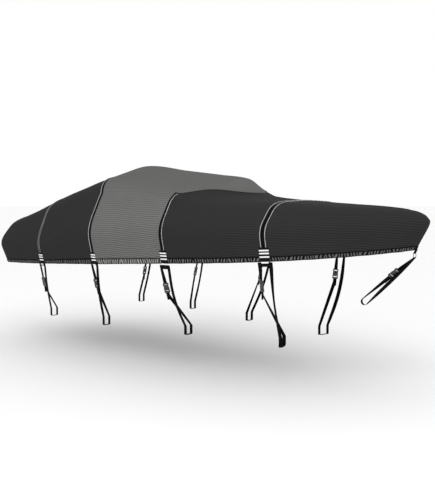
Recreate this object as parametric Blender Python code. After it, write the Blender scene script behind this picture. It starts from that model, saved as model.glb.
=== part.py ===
import math

import bmesh
import bpy
import numpy as np
from mathutils import Vector

# Fitted cover for a trailered V-hull runabout, drawn taut over the hull, screen and a centre pole.
# Metres. +X runs to the bow, +Y to port, +Z up. The origin is on the underside of the cloth at the
# pole, 50 mm ahead of the seam between the aft and the crown panel.

for old in list(bpy.data.objects):
    bpy.data.objects.remove(old, do_unlink=True)

# Main sizes
CLOTH_T = 0.002
PANEL_STEP = 0.125
CROWN_STEP = 0.101
SCREEN_STEPS = 8
SCREEN_STRIP = 0.030
SCREEN_CURVE = 1.18
SCREEN_BACK = 0.020
SEAM_GAP = 0.00025
TRIM_LIFT = 0.0006
TRIM_T = 0.0016
PIPING_LIFT = 0.0012
PIPING_H = 0.0045
PIPING_W = 0.008
PIPING_INSET = 0.005
SCREEN_PIPING_LIFT = 0.0030
SCREEN_CORD_FROM = 9.5
GATHER_DEPTH = 0.004
TAB_RISE = 0.148
TAB_T = 0.0035
TAB_LIFT = 0.0022
TAB_INSET = 0.015
SLEEVE_H = 0.052
SLEEVE_D = 0.0085
SLEEVE_WALL = 0.0017
WEB_W = 0.040
WEB_T = 0.0016
BEAM_H = 0.100
BEAM_FOOT_Z = -1.950
WEB_POCKET = 0.010
TAIL_LEN = 0.080
TAIL_OFF = 0.0032
BUCKLE_W = 0.062
BUCKLE_T = 0.017
SOCKET_L = 0.072
PLUG_L = 0.044
PLUG_GAP = 0.001
KNEE_RUN = 0.030
LEG_STEPS = 5
TWIST_STEPS = 3

# A row per rib, stern to bow: hem, knuckle (widest line), upper edge and ridge point of one half.
RIB_COLUMNS = ("rib", "hem_x", "hem_y", "hem_z", "knuckle_x", "knuckle_y", "knuckle_z",
               "edge_x", "edge_y", "edge_z", "ridge_x", "ridge_z")
RIB_ROWS = (
    ("stern", -2.070, 0.000, -1.292, -2.187, 0.000, -0.987, -2.020, 0.000, -0.640, -1.790, -0.552),
    ("transom", -2.070, 0.554, -1.292, -2.178, 0.630, -0.991, -2.010, 0.525, -0.658, -1.740, -0.542),
    ("corner", -2.024, 0.872, -1.292, -2.106, 0.946, -1.004, -1.922, 0.802, -0.684, -1.645, -0.514),
    ("quarter", -1.596, 0.926, -1.278, -1.615, 1.003, -0.977, -1.558, 0.831, -0.595, -1.424, -0.452),
    ("seam_a", -1.095, 0.955, -1.254, -1.095, 1.027, -0.948, -1.095, 0.812, -0.442, -1.095, -0.318),
    ("aft_mid", -0.574, 0.965, -1.225, -0.574, 1.041, -0.862, -0.574, 0.793, -0.289, -0.574, -0.156),
    ("seam_b", -0.050, 0.955, -1.197, -0.050, 1.050, -0.776, -0.050, 0.764, -0.212, -0.050, 0.0366),
    ("crown", 0.533, 0.955, -1.158, 0.533, 1.041, -0.748, 0.533, 0.783, -0.246, 0.533, -0.042),
    ("seam_c", 1.109, 0.945, -1.120, 1.109, 1.031, -0.738, 1.109, 0.802, -0.337, 1.109, -0.106),
    ("screen_top", 1.431, 0.907, -1.101, 1.431, 0.993, -0.733, 1.264, 0.760, -0.380, 1.496, -0.152),
    ("screen_foot", 1.670, 0.879, -1.087, 1.670, 0.960, -0.729, 1.572, 0.712, -0.424, 1.704, -0.350),
    ("seam_d", 2.300, 0.745, -1.044, 2.300, 0.812, -0.719, 2.300, 0.583, -0.456, 2.300, -0.436),
    ("fore", 2.797, 0.544, -1.001, 2.816, 0.621, -0.690, 2.797, 0.439, -0.487, 2.759, -0.464),
    ("shoulder", 3.227, 0.315, -0.953, 3.293, 0.372, -0.662, 3.255, 0.248, -0.519, 3.160, -0.485),
    ("cheek", 3.465, 0.118, -0.920, 3.590, 0.156, -0.649, 3.540, 0.118, -0.552, 3.370, -0.505),
    ("nose", 3.523, 0.000, -0.910, 3.668, 0.000, -0.640, 3.612, 0.000, -0.572, 3.430, -0.512),
)
RIBS = [dict(zip(RIB_COLUMNS, row)) for row in RIB_ROWS]

# Heights along a rib: 0 hem, 1 knuckle, 2 edge, 3 ridge; the corner of each is rounded by its share.
KNUCKLE_ROUND = 0.30
EDGE_ROUND = 0.35
RIDGE_ROUND = 0.25
SIDE_HEIGHTS = (0.0, 0.16, 0.46, 0.74, 0.92, 1.08, 1.32, 1.65, 1.80)
ROOF_HEIGHTS = (1.90, 2.0, 2.15, 2.35, 2.75, 3.0)

# Seam B runs aft as it climbs the roof: how far, from which height, and the reach along the boat
LEAN = 0.46
LEAN_FROM = 1.75
LEAN_REACH = 0.95

# A row per seam, each made on both sides of the boat. The buckled leg of a strap bends at its knee,
# the plain leg sags outwards; both are turned about their own run, in degrees.
SEAM_COLUMNS = ("seam", "rib", "trim_w", "tab_w", "tab_drop", "foot_y", "beam_d",
                "buckle_drop", "knee_y", "knee_z", "buckle_turn", "sag", "leg_turn", "piping")
SEAM_ROWS = (
    ("a", "seam_a", 0.036, 0.080, 0.025, 0.835, 0.090,
     0.190, 0.880, -1.610, 0.0, 0.012, 0.0, ("aft", "fore")),
    ("b", "seam_b", 0.044, 0.078, 0.012, 0.830, 0.090,
     0.203, 0.868, -1.520, -18.0, 0.018, -12.0, ("aft",)),
    ("c", "seam_c", 0.050, 0.094, 0.060, 0.620, 0.100,
     0.195, 0.828, -1.506, -28.0, 0.047, 0.0, ()),
    ("d", "seam_d", 0.062, 0.104, 0.048, 0.470, 0.125,
     0.165, 0.708, -1.400, 42.0, 0.050, 42.0, ("aft", "fore")),
)
SEAMS = [dict(zip(SEAM_COLUMNS, row)) for row in SEAM_ROWS]

# Bow: a small tab with a ring, and a strap from the ring back and down round a post
BOW_TAB_W = 0.036
BOW_TAB_RISE = 0.045
BOW_TAB_DROP = 0.034
BOW_SLEEVE_D = 0.0115
RING_W = 0.056
RING_H = 0.046
RING_R = 0.0028
RING_BEND = 0.006
RING_LEAN = 0.02
POST_X = 3.003
POST_Z = -1.455
POST_R = 0.035
BOW_BUCKLE_DROP = 0.205
BOW_TURN = 50.0

# Soft creases in the drawn cloth: from and to as (rib share along, height), half width and depth.
CREASE_COLUMNS = ("along_0", "height_0", "along_1", "height_1", "side", "half_w", "depth")
CREASE_ROWS = (
    (5.9, 1.95, 4.5, 1.20, -1, 0.16, 0.007),
    (5.8, 1.90, 4.4, 1.35, 1, 0.17, 0.006),
    (4.2, 1.80, 5.3, 2.30, -1, 0.15, 0.006),
    (3.1, 1.25, 1.9, 1.75, -1, 0.15, 0.006),
    (6.3, 1.40, 7.6, 1.15, -1, 0.17, 0.005),
    (6.4, 1.25, 7.5, 1.50, 1, 0.18, 0.006),
    (8.4, 1.80, 10.2, 1.25, -1, 0.18, 0.007),
    (8.6, 1.60, 10.4, 1.30, 1, 0.16, 0.006),
    (11.3, 1.60, 12.8, 1.25, -1, 0.13, 0.005),
    (11.4, 1.35, 12.6, 1.70, 1, 0.14, 0.005),
)
CREASES = [dict(zip(CREASE_COLUMNS, row)) for row in CREASE_ROWS]


# Rib table turned into smooth curves over the distance along the knuckle
def control_points():
    points = []
    for rib in RIBS:
        points.append((
            (rib["hem_x"], rib["hem_y"], rib["hem_z"]),
            (rib["knuckle_x"], rib["knuckle_y"], rib["knuckle_z"]),
            (rib["edge_x"], rib["edge_y"], rib["edge_z"]),
            (rib["ridge_x"], 0.0, rib["ridge_z"]),
        ))
    return np.array(points)


CONTROL = control_points()
STATION = np.concatenate(([0.0], np.cumsum(np.linalg.norm(np.diff(CONTROL[:, 1], axis=0), axis=1))))


def rib_slopes():
    step = np.diff(STATION)[:, None, None]
    rise = np.diff(CONTROL, axis=0) / step
    slopes = np.zeros_like(CONTROL)
    before = 2.0 * step[1:] + step[:-1]
    after = step[1:] + 2.0 * step[:-1]
    same_way = rise[:-1] * rise[1:] > 0.0
    safe_0 = np.where(same_way, rise[:-1], 1.0)
    safe_1 = np.where(same_way, rise[1:], 1.0)
    mean = (before + after) / (before / safe_0 + after / safe_1)
    slopes[1:-1] = np.where(same_way, mean, 0.0)
    slopes[0, :, 1] = rise[0, :, 1]
    slopes[-1, :, 1] = rise[-1, :, 1]
    return slopes


SLOPES = rib_slopes()


def rib_at(along):
    cell = int(np.clip(np.searchsorted(STATION, along) - 1, 0, len(STATION) - 2))
    step = STATION[cell + 1] - STATION[cell]
    share = (along - STATION[cell]) / step
    keep = (1.0 + 2.0 * share) * (1.0 - share) ** 2
    lead = share * (1.0 - share) ** 2
    take = share ** 2 * (3.0 - 2.0 * share)
    trail = share ** 2 * (share - 1.0)
    return (CONTROL[cell] * keep + SLOPES[cell] * (lead * step)
            + CONTROL[cell + 1] * take + SLOPES[cell + 1] * (trail * step))


def rounded(before, corner, after, share):
    return before * (1.0 - share) ** 2 + corner * (2.0 * share * (1.0 - share)) + after * share ** 2


def rib_point(rib, height):
    rounds = (0.0, KNUCKLE_ROUND, EDGE_ROUND, RIDGE_ROUND)
    if height > 3.0 - RIDGE_ROUND:
        low = rib[3] + (rib[2] - rib[3]) * RIDGE_ROUND
        mirrored = low * np.array((1.0, -1.0, 1.0))
        return rounded(low, rib[3], mirrored, (height - 3.0 + RIDGE_ROUND) / (2.0 * RIDGE_ROUND))
    corner = int(round(height))
    reach = rounds[corner]
    if 1 <= corner <= 2 and abs(height - corner) < reach:
        low = rib[corner] + (rib[corner - 1] - rib[corner]) * reach
        high = rib[corner] + (rib[corner + 1] - rib[corner]) * reach
        return rounded(low, rib[corner], high, (height - corner + reach) / (2.0 * reach))
    cell = min(int(height), 2)
    return rib[cell] * (1.0 - height + cell) + rib[cell + 1] * (height - cell)


def seam_station(seam):
    names = [rib["rib"] for rib in RIBS]
    return STATION[names.index(seam["rib"])]


def seam_clearance(along):
    fixed = [seam_station(seam) for seam in SEAMS] + [STATION[-1]]
    nearest = min(abs(along - station) for station in fixed)
    return float(np.clip((nearest - 0.10) / 0.10, 0.0, 1.0))


def crease_depth(along, height, side):
    total = 0.0
    index = np.arange(len(STATION))
    for crease in CREASES:
        if crease["side"] != side:
            continue
        start = np.interp(crease["along_0"], index, STATION)
        end = np.interp(crease["along_1"], index, STATION)
        line = np.array((end - start, (crease["height_1"] - crease["height_0"]) * 0.5))
        here = np.array((along - start, (height - crease["height_0"]) * 0.5))
        share = float(np.clip(here @ line / (line @ line), 0.0, 1.0))
        off = float(np.linalg.norm(here - line * share)) / crease["half_w"]
        if off < 1.0:
            total += crease["depth"] * (1.0 - off * off) ** 2 * math.sin(math.pi * (0.15 + 0.7 * share))
    return total


def gather_depth(along, height):
    if height > 0.16:
        return 0.0
    wave = math.sin(along * 21.0) + 0.6 * math.sin(along * 33.7 + 1.3)
    return GATHER_DEPTH * 0.6 * wave * (1.0 - height / 0.16) * seam_clearance(along)


def leaned(along, height):
    share = min(max((height - LEAN_FROM) / (3.0 - LEAN_FROM), 0.0), 1.0)
    middle = seam_station(SEAMS[1])
    off = min(abs(along - middle) / LEAN_REACH, 1.0)
    return along - LEAN * share * (1.0 - off * off) ** 2


def bare_point(along, height, side):
    point = rib_point(rib_at(leaned(along, height)), height).copy()
    point[1] *= side
    return point


def outward(along, height, side):
    reach = 0.004
    near_along = min(max(along, reach), STATION[-1] - reach)
    low_h = max(height - reach, 0.0)
    high_h = min(height + reach, 3.0)
    lengthways = bare_point(near_along + reach, height, side) - bare_point(near_along - reach, height, side)
    upward = bare_point(near_along, high_h, side) - bare_point(near_along, low_h, side)
    normal = np.cross(lengthways, upward) * -side
    return normal / np.linalg.norm(normal)


def cover_point(along, height, side, lift=0.0):
    inward = crease_depth(along, height, side) * seam_clearance(along) + gather_depth(along, height)
    point = bare_point(along, height, side)
    normal = outward(along, height, side)
    if abs(point[1]) < 1e-6:
        normal = normal * np.array((1.0, 0.0, 1.0))
        normal = normal / np.linalg.norm(normal)
    return point + normal * (lift - inward)


# Materials
def material(name, colour, roughness, metallic=0.0):
    made = bpy.data.materials.new(name)
    made.use_nodes = True
    shader = made.node_tree.nodes["Principled BSDF"]
    shader.inputs["Base Color"].default_value = (*colour, 1.0)
    shader.inputs["Roughness"].default_value = roughness
    shader.inputs["Metallic"].default_value = metallic
    return made


DARK_CLOTH = material("dark_polyester", (0.034, 0.034, 0.035), 0.85)
GREY_CLOTH = material("grey_polyester", (0.158, 0.158, 0.150), 0.85)
WEBBING = material("black_webbing", (0.008, 0.008, 0.009), 0.75)
PIPING = material("pale_piping", (0.55, 0.55, 0.55), 0.55)
DIM_PIPING = material("grey_piping", (0.20, 0.20, 0.20), 0.65)
TAB_CLOTH = material("tab_webbing", (0.009, 0.009, 0.010), 0.70)
BUCKLE = material("buckle_plastic", (0.042, 0.045, 0.056), 0.42)


def add_mesh(name, bm, surface, smooth):
    bmesh.ops.recalc_face_normals(bm, faces=bm.faces)
    mesh = bpy.data.meshes.new(name)
    bm.to_mesh(mesh)
    bm.free()
    mesh.materials.append(surface)
    for face in mesh.polygons:
        face.use_smooth = smooth
    made = bpy.data.objects.new(name, mesh)
    bpy.context.collection.objects.link(made)
    return made


# Cloth panels: each is a grid of cells over part of the cover, thickened inwards.
def add_patch(bm, rows, lift=0.0):
    verts = [[bm.verts.new(cover_point(*cell, lift)) for cell in row] for row in rows]
    for row_0, row_1 in zip(verts, verts[1:]):
        for i in range(len(row_0) - 1):
            bm.faces.new((row_0[i], row_0[i + 1], row_1[i + 1], row_1[i]))


def both_sides(along, heights):
    up = [(along, height, -1) for height in heights]
    down = [(along, height, 1) for height in reversed(heights)]
    return up + down[1:]


def columns(start, end, trim_0, trim_1, step=PANEL_STEP):
    low = start + trim_0
    high = end - trim_1
    count = max(1, round((high - low) / step))
    inner = [low + (high - low) * i / count for i in range(count + 1)]
    before = [start] if trim_0 else []
    after = [end] if trim_1 else []
    return before + inner + after


def thicken(name, bm, surface, thickness):
    bmesh.ops.remove_doubles(bm, verts=bm.verts, dist=2e-5)
    bmesh.ops.recalc_face_normals(bm, faces=bm.faces)
    bm.normal_update()
    highest = max(bm.verts, key=lambda vertex: vertex.co.z)
    if highest.normal.z < 0.0:
        bmesh.ops.reverse_faces(bm, faces=bm.faces)
    bmesh.ops.solidify(bm, geom=bm.faces, thickness=thickness)
    return add_mesh(name, bm, surface, True)


def panel_between(name, start, end, trim_0, trim_1, surface):
    bm = bmesh.new()
    heights = SIDE_HEIGHTS + ROOF_HEIGHTS
    add_patch(bm, [both_sides(along, heights) for along in columns(start, end, trim_0, trim_1)])
    return thicken(name, bm, surface, CLOTH_T)


SEAM_AT = {seam["seam"]: seam_station(seam) for seam in SEAMS}
HALF_TRIM = {seam["seam"]: seam["trim_w"] / 2 for seam in SEAMS}
SCREEN_FOOT = STATION[[rib["rib"] for rib in RIBS].index("screen_foot")] - SCREEN_BACK


def screen_angles():
    first = math.asin((HALF_TRIM["c"] / (SCREEN_FOOT - SEAM_AT["c"])) ** (1.0 / SCREEN_CURVE))
    return [0.0, first] + [math.pi / 2 * step / SCREEN_STEPS for step in range(1, SCREEN_STEPS + 1)]


def screen_edge(angle, slack):
    # the line where the grey roof meets the dark panel: side edge at seam C, ridge at the screen's foot
    along = SEAM_AT["c"] + (SCREEN_FOOT - SEAM_AT["c"] + slack) * math.sin(angle) ** SCREEN_CURVE
    below_ridge = (1.0 + slack * 1.5) * max(math.cos(angle), 0.0) ** SCREEN_CURVE
    return along, below_ridge


def crown_panel():
    bm = bmesh.new()
    start = SEAM_AT["b"] + SEAM_GAP
    end = SEAM_AT["c"] - SEAM_GAP
    heights = SIDE_HEIGHTS + ROOF_HEIGHTS
    across = columns(start, end, HALF_TRIM["b"], HALF_TRIM["c"], CROWN_STEP)
    add_patch(bm, [both_sides(along, heights) for along in across])
    roof = [height for height in ROOF_HEIGHTS if height >= 2.0]
    rows = [both_sides(end, roof)]
    for angle in screen_angles()[1:]:
        along, below_ridge = screen_edge(angle, -2.0 * SEAM_GAP)
        rows.append(both_sides(along, [3.0 - (3.0 - height) * below_ridge for height in roof]))
    add_patch(bm, rows)
    return thicken("crown_panel", bm, GREY_CLOTH, CLOTH_T)


def fore_heights(top):
    base = SIDE_HEIGHTS[-1]
    scale = (top - base) / (3.0 - base)
    return SIDE_HEIGHTS + tuple(base + (height - base) * scale for height in ROOF_HEIGHTS)


def fore_panel():
    bm = bmesh.new()
    for side in (-1, 1):
        rows = []
        for angle in screen_angles():
            along, below_ridge = screen_edge(angle, 2.0 * SEAM_GAP)
            along = max(along, SEAM_AT["c"] + SEAM_GAP)
            rows.append([(along, height, side) for height in fore_heights(3.0 - below_ridge)])
        add_patch(bm, rows)
    start = screen_edge(math.pi / 2, 2.0 * SEAM_GAP)[0]
    end = SEAM_AT["d"] - SEAM_GAP
    heights = SIDE_HEIGHTS + ROOF_HEIGHTS
    across = columns(start, end, SCREEN_STRIP, HALF_TRIM["d"])
    add_patch(bm, [both_sides(along, heights) for along in across])
    return thicken("fore_panel", bm, DARK_CLOTH, CLOTH_T)


panel_between("stern_panel", 0.0, SEAM_AT["a"] - SEAM_GAP, 0.0, HALF_TRIM["a"], DARK_CLOTH)
panel_between("aft_panel", SEAM_AT["a"] + SEAM_GAP, SEAM_AT["b"] - SEAM_GAP,
              HALF_TRIM["a"], HALF_TRIM["b"], DARK_CLOTH)
crown_panel()
fore_panel()
panel_between("bow_panel", SEAM_AT["d"] + SEAM_GAP, STATION[-1], HALF_TRIM["d"], 0.0, DARK_CLOTH)


# Seam trims: flat webbing laid over each seam, from the tabs up
def tab_height(seam):
    rib = rib_at(seam_station(seam))
    return TAB_RISE / float(np.linalg.norm(rib[1] - rib[0]))


def trim_heights(seam, top):
    low = tab_height(seam) + 0.01
    steps = fore_heights(2.0) if seam["seam"] == "c" else SIDE_HEIGHTS + ROOF_HEIGHTS
    return [low] + [height for height in steps if low + 0.05 < height <= top]


def trim_rows(seam, cells):
    station = seam_station(seam)
    half = seam["trim_w"] / 2
    offsets = (-half, -SEAM_GAP, SEAM_GAP, half)
    return [[(station + off, height, side) for off in offsets] for height, side in cells]


def seam_trim(name, seam, cells):
    bm = bmesh.new()
    add_patch(bm, trim_rows(seam, cells), TRIM_LIFT + TRIM_T)
    return thicken(name, bm, WEBBING, TRIM_T)


def over_cells(heights):
    return [(height, -1) for height in heights] + [(height, 1) for height in reversed(heights)][1:]


for seam in SEAMS:
    if seam["seam"] == "c":
        low_part = trim_heights(seam, 2.0)
        seam_trim("trim_c_starboard", seam, [(height, -1) for height in low_part])
        seam_trim("trim_c_port", seam, [(height, 1) for height in low_part])
    else:
        seam_trim("trim_" + seam["seam"], seam, over_cells(trim_heights(seam, 3.0)))


# Closed bar through a row of equal point loops; every other side is split along the other diagonal,
# so that the two flat faces of a twisted ribbon keep one distance
def bar(name, loops, surface, smooth, endless=False):
    bm = bmesh.new()
    rings = [[bm.verts.new(point) for point in loop] for loop in loops]
    count = len(rings[0])
    following = rings[1:] + [rings[0]] if endless else rings[1:]
    for ring_0, ring_1 in zip(rings, following):
        for i in range(count):
            j = (i + 1) % count
            if i < count / 2:
                bm.faces.new((ring_0[i], ring_0[j], ring_1[j]))
                bm.faces.new((ring_0[i], ring_1[j], ring_1[i]))
            else:
                bm.faces.new((ring_0[i], ring_0[j], ring_1[i]))
                bm.faces.new((ring_0[j], ring_1[j], ring_1[i]))
    if not endless:
        bm.faces.new(rings[0])
        bm.faces.new(list(reversed(rings[-1])))
    return add_mesh(name, bm, surface, smooth)


def piping_bar(name, cells, lift, surface):
    centres = [cover_point(*cell, lift) for cell in cells]
    normals = [outward(*cell) for cell in cells]
    loops = []
    for i, centre in enumerate(centres):
        run = centres[min(i + 1, len(centres) - 1)] - centres[max(i - 1, 0)]
        across = np.cross(run, normals[i])
        across /= np.linalg.norm(across)
        up = np.cross(across, run)
        up /= np.linalg.norm(up)
        if up @ normals[i] < 0.0:
            up = -up
        base = across * (PIPING_W / 2)
        crest = across * (PIPING_W * 0.28)
        loops.append((centre - base, centre - crest + up * PIPING_H,
                      centre + crest + up * PIPING_H, centre + base))
    return bar(name, loops, surface, True)


for seam in SEAMS:
    lift = TRIM_LIFT + TRIM_T + PIPING_LIFT
    for where in seam["piping"]:
        way = 1.0 if where == "fore" else -1.0
        station = seam_station(seam) + way * (seam["trim_w"] / 2 - PIPING_INSET)
        cells = [(station, height, side) for height, side in over_cells(trim_heights(seam, 3.0))]
        surface = DIM_PIPING if seam["seam"] == "a" else PIPING
        piping_bar("piping_" + seam["seam"] + "_" + where, cells, lift, surface)


# Pale piping beside seam C up to the corner of the grey roof, then a dark cord over the screen's top
def screen_piping(name, side):
    seam = SEAMS[2]
    station = SEAM_AT["c"] + HALF_TRIM["c"] - PIPING_INSET
    rising = [(station, height) for height in trim_heights(seam, 1.90)]
    turn = [(station + 0.004, 1.925), (station + 0.012, 1.945), (station + 0.028, 1.962)]
    cells = [(along, height, side) for along, height in rising + turn]
    return piping_bar(name, cells, SCREEN_PIPING_LIFT, PIPING)


def screen_cord():
    half = []
    for angle in [math.radians(SCREEN_CORD_FROM)] + screen_angles()[2:]:
        along, below_ridge = screen_edge(angle, 0.008)
        half.append((along, 3.0 - below_ridge - 0.02 * math.cos(angle), -1))
    other = [(along, height, 1) for along, height, side in reversed(half)][1:]
    return piping_bar("screen_cord", half + other, SCREEN_PIPING_LIFT, DARK_CLOTH)


screen_piping("piping_c_starboard", -1)
screen_piping("piping_c_port", 1)
screen_cord()


# Frame on the hem at a seam: along the boat, outwards and up the skirt
def hem_frame(station, side):
    origin = bare_point(station, 0.0, side)
    up = bare_point(station, 0.6, side) - origin
    up /= np.linalg.norm(up)
    out = outward(station, 0.3, side)
    out = out - up * (out @ up)
    out /= np.linalg.norm(out)
    ahead = np.cross(up, out) * -side
    return origin, ahead, out, up


def place(frame, ahead, out, up):
    origin, axis_ahead, axis_out, axis_up = frame
    return origin + axis_ahead * ahead + axis_out * out + axis_up * up


# Striped tab: a stitched plate on the skirt that ends in a flat sleeve for the strap
def strap_tab(name, frame, width, rise, drop, inset, depth):
    low = -drop
    top = low + SLEEVE_H
    face = TAB_LIFT + depth
    wall = SLEEVE_WALL
    narrow = width / 2 - inset
    plate_top = ((TAB_LIFT, rise, width * 0.465), (TAB_LIFT + TAB_T, rise, width * 0.465))
    outer = ((TAB_LIFT, top, width / 2), (TAB_LIFT + TAB_T, top, width / 2),
             (face, top - 0.003, narrow), (face, low + 0.004, narrow), (face - 0.003, low, narrow),
             (TAB_LIFT + 0.002, low, narrow), (TAB_LIFT, low + 0.003, narrow))
    inner = ((TAB_LIFT + wall, top - 0.003, narrow), (TAB_LIFT + TAB_T, top - 0.003, narrow),
             (face - wall, top - 0.0048, narrow), (face - wall, low + 0.005, narrow),
             (face - wall - 0.002, low + wall, narrow), (TAB_LIFT + wall + 0.001, low + wall, narrow),
             (TAB_LIFT + wall, low + 0.004, narrow))
    bm = bmesh.new()
    ends = []
    for way in (-1.0, 1.0):
        loops = []
        for loop in (plate_top, outer, inner):
            loops.append([bm.verts.new(place(frame, way * half, out, up)) for out, up, half in loop])
        ends.append(loops)
    count = len(outer)
    for plate, out_ring, in_ring in ends:
        bm.faces.new((plate[0], plate[1], out_ring[1], out_ring[0]))
        for i in range(count):
            j = (i + 1) % count
            bm.faces.new((out_ring[i], out_ring[j], in_ring[j], in_ring[i]))
    (plate_0, out_0, in_0), (plate_1, out_1, in_1) = ends
    for i in range(count):
        j = (i + 1) % count
        bm.faces.new((in_0[i], in_0[j], in_1[j], in_1[i]))
        if i:
            bm.faces.new((out_0[i], out_0[j], out_1[j], out_1[i]))
    bm.faces.new((plate_0[0], plate_0[1], plate_1[1], plate_1[0]))
    bm.faces.new((plate_0[0], out_0[0], out_1[0], plate_1[0]))
    bm.faces.new((plate_0[1], out_0[1], out_1[1], plate_1[1]))
    return add_mesh(name, bm, TAB_CLOTH, False)


# Webbing ribbon: centre points, each with the direction of its width
def ribbon(name, stations, surface):
    points = [np.array(point, dtype=float) for point, width in stations]
    widths = [np.array(width, dtype=float) for point, width in stations]
    faces_out = []
    for i, width in enumerate(widths):
        total = np.zeros(3)
        for j in (i - 1, i):
            if 0 <= j < len(points) - 1:
                run = points[j + 1] - points[j]
                normal = np.cross(run, width)
                total += normal / np.linalg.norm(normal)
        length = np.linalg.norm(total)
        share = length / (2.0 if 0 < i < len(points) - 1 else 1.0)
        faces_out.append(total / length * min(1.0 / max(share, 0.5), 1.6))
    loops = []
    for point, width, normal in zip(points, widths, faces_out):
        side = width * (WEB_W / 2)
        deep = normal * (WEB_T / 2)
        loops.append((point - side - deep, point + side - deep, point + side + deep, point - side + deep))
    return bar(name, loops, surface, True)


# Side-release buckle, made once and copied: x across, y down the strap, z out
def box(bm, low, high):
    made = bmesh.ops.create_cube(bm, size=1.0)
    centre = (Vector(low) + Vector(high)) / 2
    size = Vector(high) - Vector(low)
    for vertex in made["verts"]:
        vertex.co = Vector([vertex.co[i] * size[i] + centre[i] for i in range(3)])


def outline_solid(bm, outline, low, high):
    verts = [bm.verts.new((x, y, low)) for x, y in outline]
    face = bm.faces.new(verts)
    grown = bmesh.ops.extrude_face_region(bm, geom=[face])
    lifted = [item for item in grown["geom"] if isinstance(item, bmesh.types.BMVert)]
    bmesh.ops.translate(bm, verts=lifted, vec=(0.0, 0.0, high - low))


def cut(name, solid, added, cutters):
    body_mesh = bpy.data.meshes.new(name)
    bmesh.ops.recalc_face_normals(solid, faces=solid.faces)
    solid.to_mesh(body_mesh)
    solid.free()
    body = bpy.data.objects.new(name, body_mesh)
    bpy.context.collection.objects.link(body)
    helpers = []
    steps = [("UNION", block) for block in added] + [("DIFFERENCE", block) for block in cutters]
    for operation, (low, high) in steps:
        bm = bmesh.new()
        box(bm, low, high)
        mesh = bpy.data.meshes.new(name + "_cutter")
        bm.to_mesh(mesh)
        bm.free()
        helper = bpy.data.objects.new(name + "_cutter", mesh)
        bpy.context.collection.objects.link(helper)
        helpers.append(helper)
        modifier = body.modifiers.new("cut", "BOOLEAN")
        modifier.operation = operation
        modifier.solver = "EXACT"
        modifier.object = helper
    carved = bpy.data.meshes.new_from_object(body.evaluated_get(bpy.context.evaluated_depsgraph_get()))
    for used in helpers + [body]:
        bpy.data.objects.remove(used, do_unlink=True)
    return carved


def socket_mesh():
    half = BUCKLE_W / 2
    waist = half - 0.0045
    end = SOCKET_L
    right = ((half - 0.0045, 0.0), (half, 0.007), (half, 0.029), (waist, 0.035), (waist, 0.054),
             (half, 0.0595), (half, end - 0.0035), (half - 0.0035, end))
    left = tuple((-x, y) for x, y in reversed(right))
    bm = bmesh.new()
    outline_solid(bm, right + left, -BUCKLE_T / 2, BUCKLE_T / 2)
    mouth = ((-0.0238, 0.027, -0.0048), (0.0238, end + 0.001, 0.0048))
    windows = ((-half - 0.001, 0.0350, -0.0048), (half + 0.001, 0.0545, 0.0048))
    pocket = ((-0.0212, -0.001, -0.0025), (0.0212, WEB_POCKET + 0.003, 0.0025))
    slot = ((-0.0205, 0.0150, -BUCKLE_T), (0.0205, 0.0250, BUCKLE_T))
    return cut("socket", bm, (), (mouth, windows, pocket, slot))


def plug_mesh():
    # base block, two sprung arms whose hooks show in the socket's windows, and a guide tongue
    half = BUCKLE_W / 2
    bm = bmesh.new()
    arm_x = (0.0150, 0.0212, 0.0290, 0.0290, 0.0230, 0.0230)
    arm_y = (-0.0360, -0.0360, -0.0304, -0.0214, -0.0191, 0.0100)
    arm = tuple(zip(arm_x, arm_y))
    tongue = ((0.0150, -0.0020), (0.0055, 0.0), (0.0055, -0.0405))
    right = arm[::-1] + tongue
    left = tuple((-x, y) for x, y in reversed(right))
    outline = right + left
    outline_solid(bm, outline, -0.0043, 0.0043)
    base = ((-half, 0.0, -0.0074), (half, PLUG_L, 0.0074))
    pocket = ((-0.0212, PLUG_L - WEB_POCKET - 0.004, -0.0032), (0.0212, PLUG_L + 0.001, 0.0032))
    slot = ((-0.0205, 0.0130, -BUCKLE_T), (0.0205, 0.0235, BUCKLE_T))
    return cut("plug", bm, (base,), (pocket, slot))


SOCKET = socket_mesh()
PLUG = plug_mesh()


def buckle_part(name, template, origin, across, along, out):
    mesh = template.copy()
    for vertex in mesh.vertices:
        local = vertex.co
        vertex.co = Vector(origin + across * local.x + along * local.y + out * local.z)
    bm = bmesh.new()
    bm.from_mesh(mesh)
    bpy.data.meshes.remove(mesh)
    return add_mesh(name, bm, BUCKLE, False)


def unit(vector):
    return vector / np.linalg.norm(vector)


def buckle_on(label, start, run, across):
    # start is where the strap enters the socket; run points down the strap
    out = unit(np.cross(across, run))
    buckle_part("socket_" + label, SOCKET, start, across, run, out)
    plug_at = start + run * (SOCKET_L + PLUG_GAP)
    buckle_part("plug_" + label, PLUG, plug_at, across, run, out)
    return plug_at + run * PLUG_L, out


def fold_back(entry, run, out, width):
    # long strap's end: tail, half turn inside the plug's pocket, then down the strap
    leg = entry - out * (TAIL_OFF / 2)
    tail = entry + out * (TAIL_OFF / 2)
    deep = run * WEB_POCKET
    turn = []
    for step in range(5):
        angle = math.pi * step / 4
        middle = entry - deep * 0.82
        radius = TAIL_OFF / 2
        turn.append(middle - out * (radius * math.cos(angle)) - run * (radius * math.sin(angle)))
    down = [tail + run * 0.004, tail + run * (TAIL_LEN * 0.6) + out * 0.002,
            tail + run * TAIL_LEN + out * 0.007]
    return [(point, width) for point in [leg + run * 0.004] + turn + down]


# Turns about an axis, stations between two widths, and a plain leg that sags and turns midway
def turned(vector, axis, degrees):
    angle = math.radians(degrees)
    along_axis = axis * (axis @ vector) * (1.0 - math.cos(angle))
    return vector * math.cos(angle) + np.cross(axis, vector) * math.sin(angle) + along_axis


def easing(start, width_0, end, width_1):
    shares = [step / TWIST_STEPS for step in range(1, TWIST_STEPS)]
    return [(start + (end - start) * share, unit(width_0 * (1.0 - share) + width_1 * share))
            for share in shares]


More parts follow.
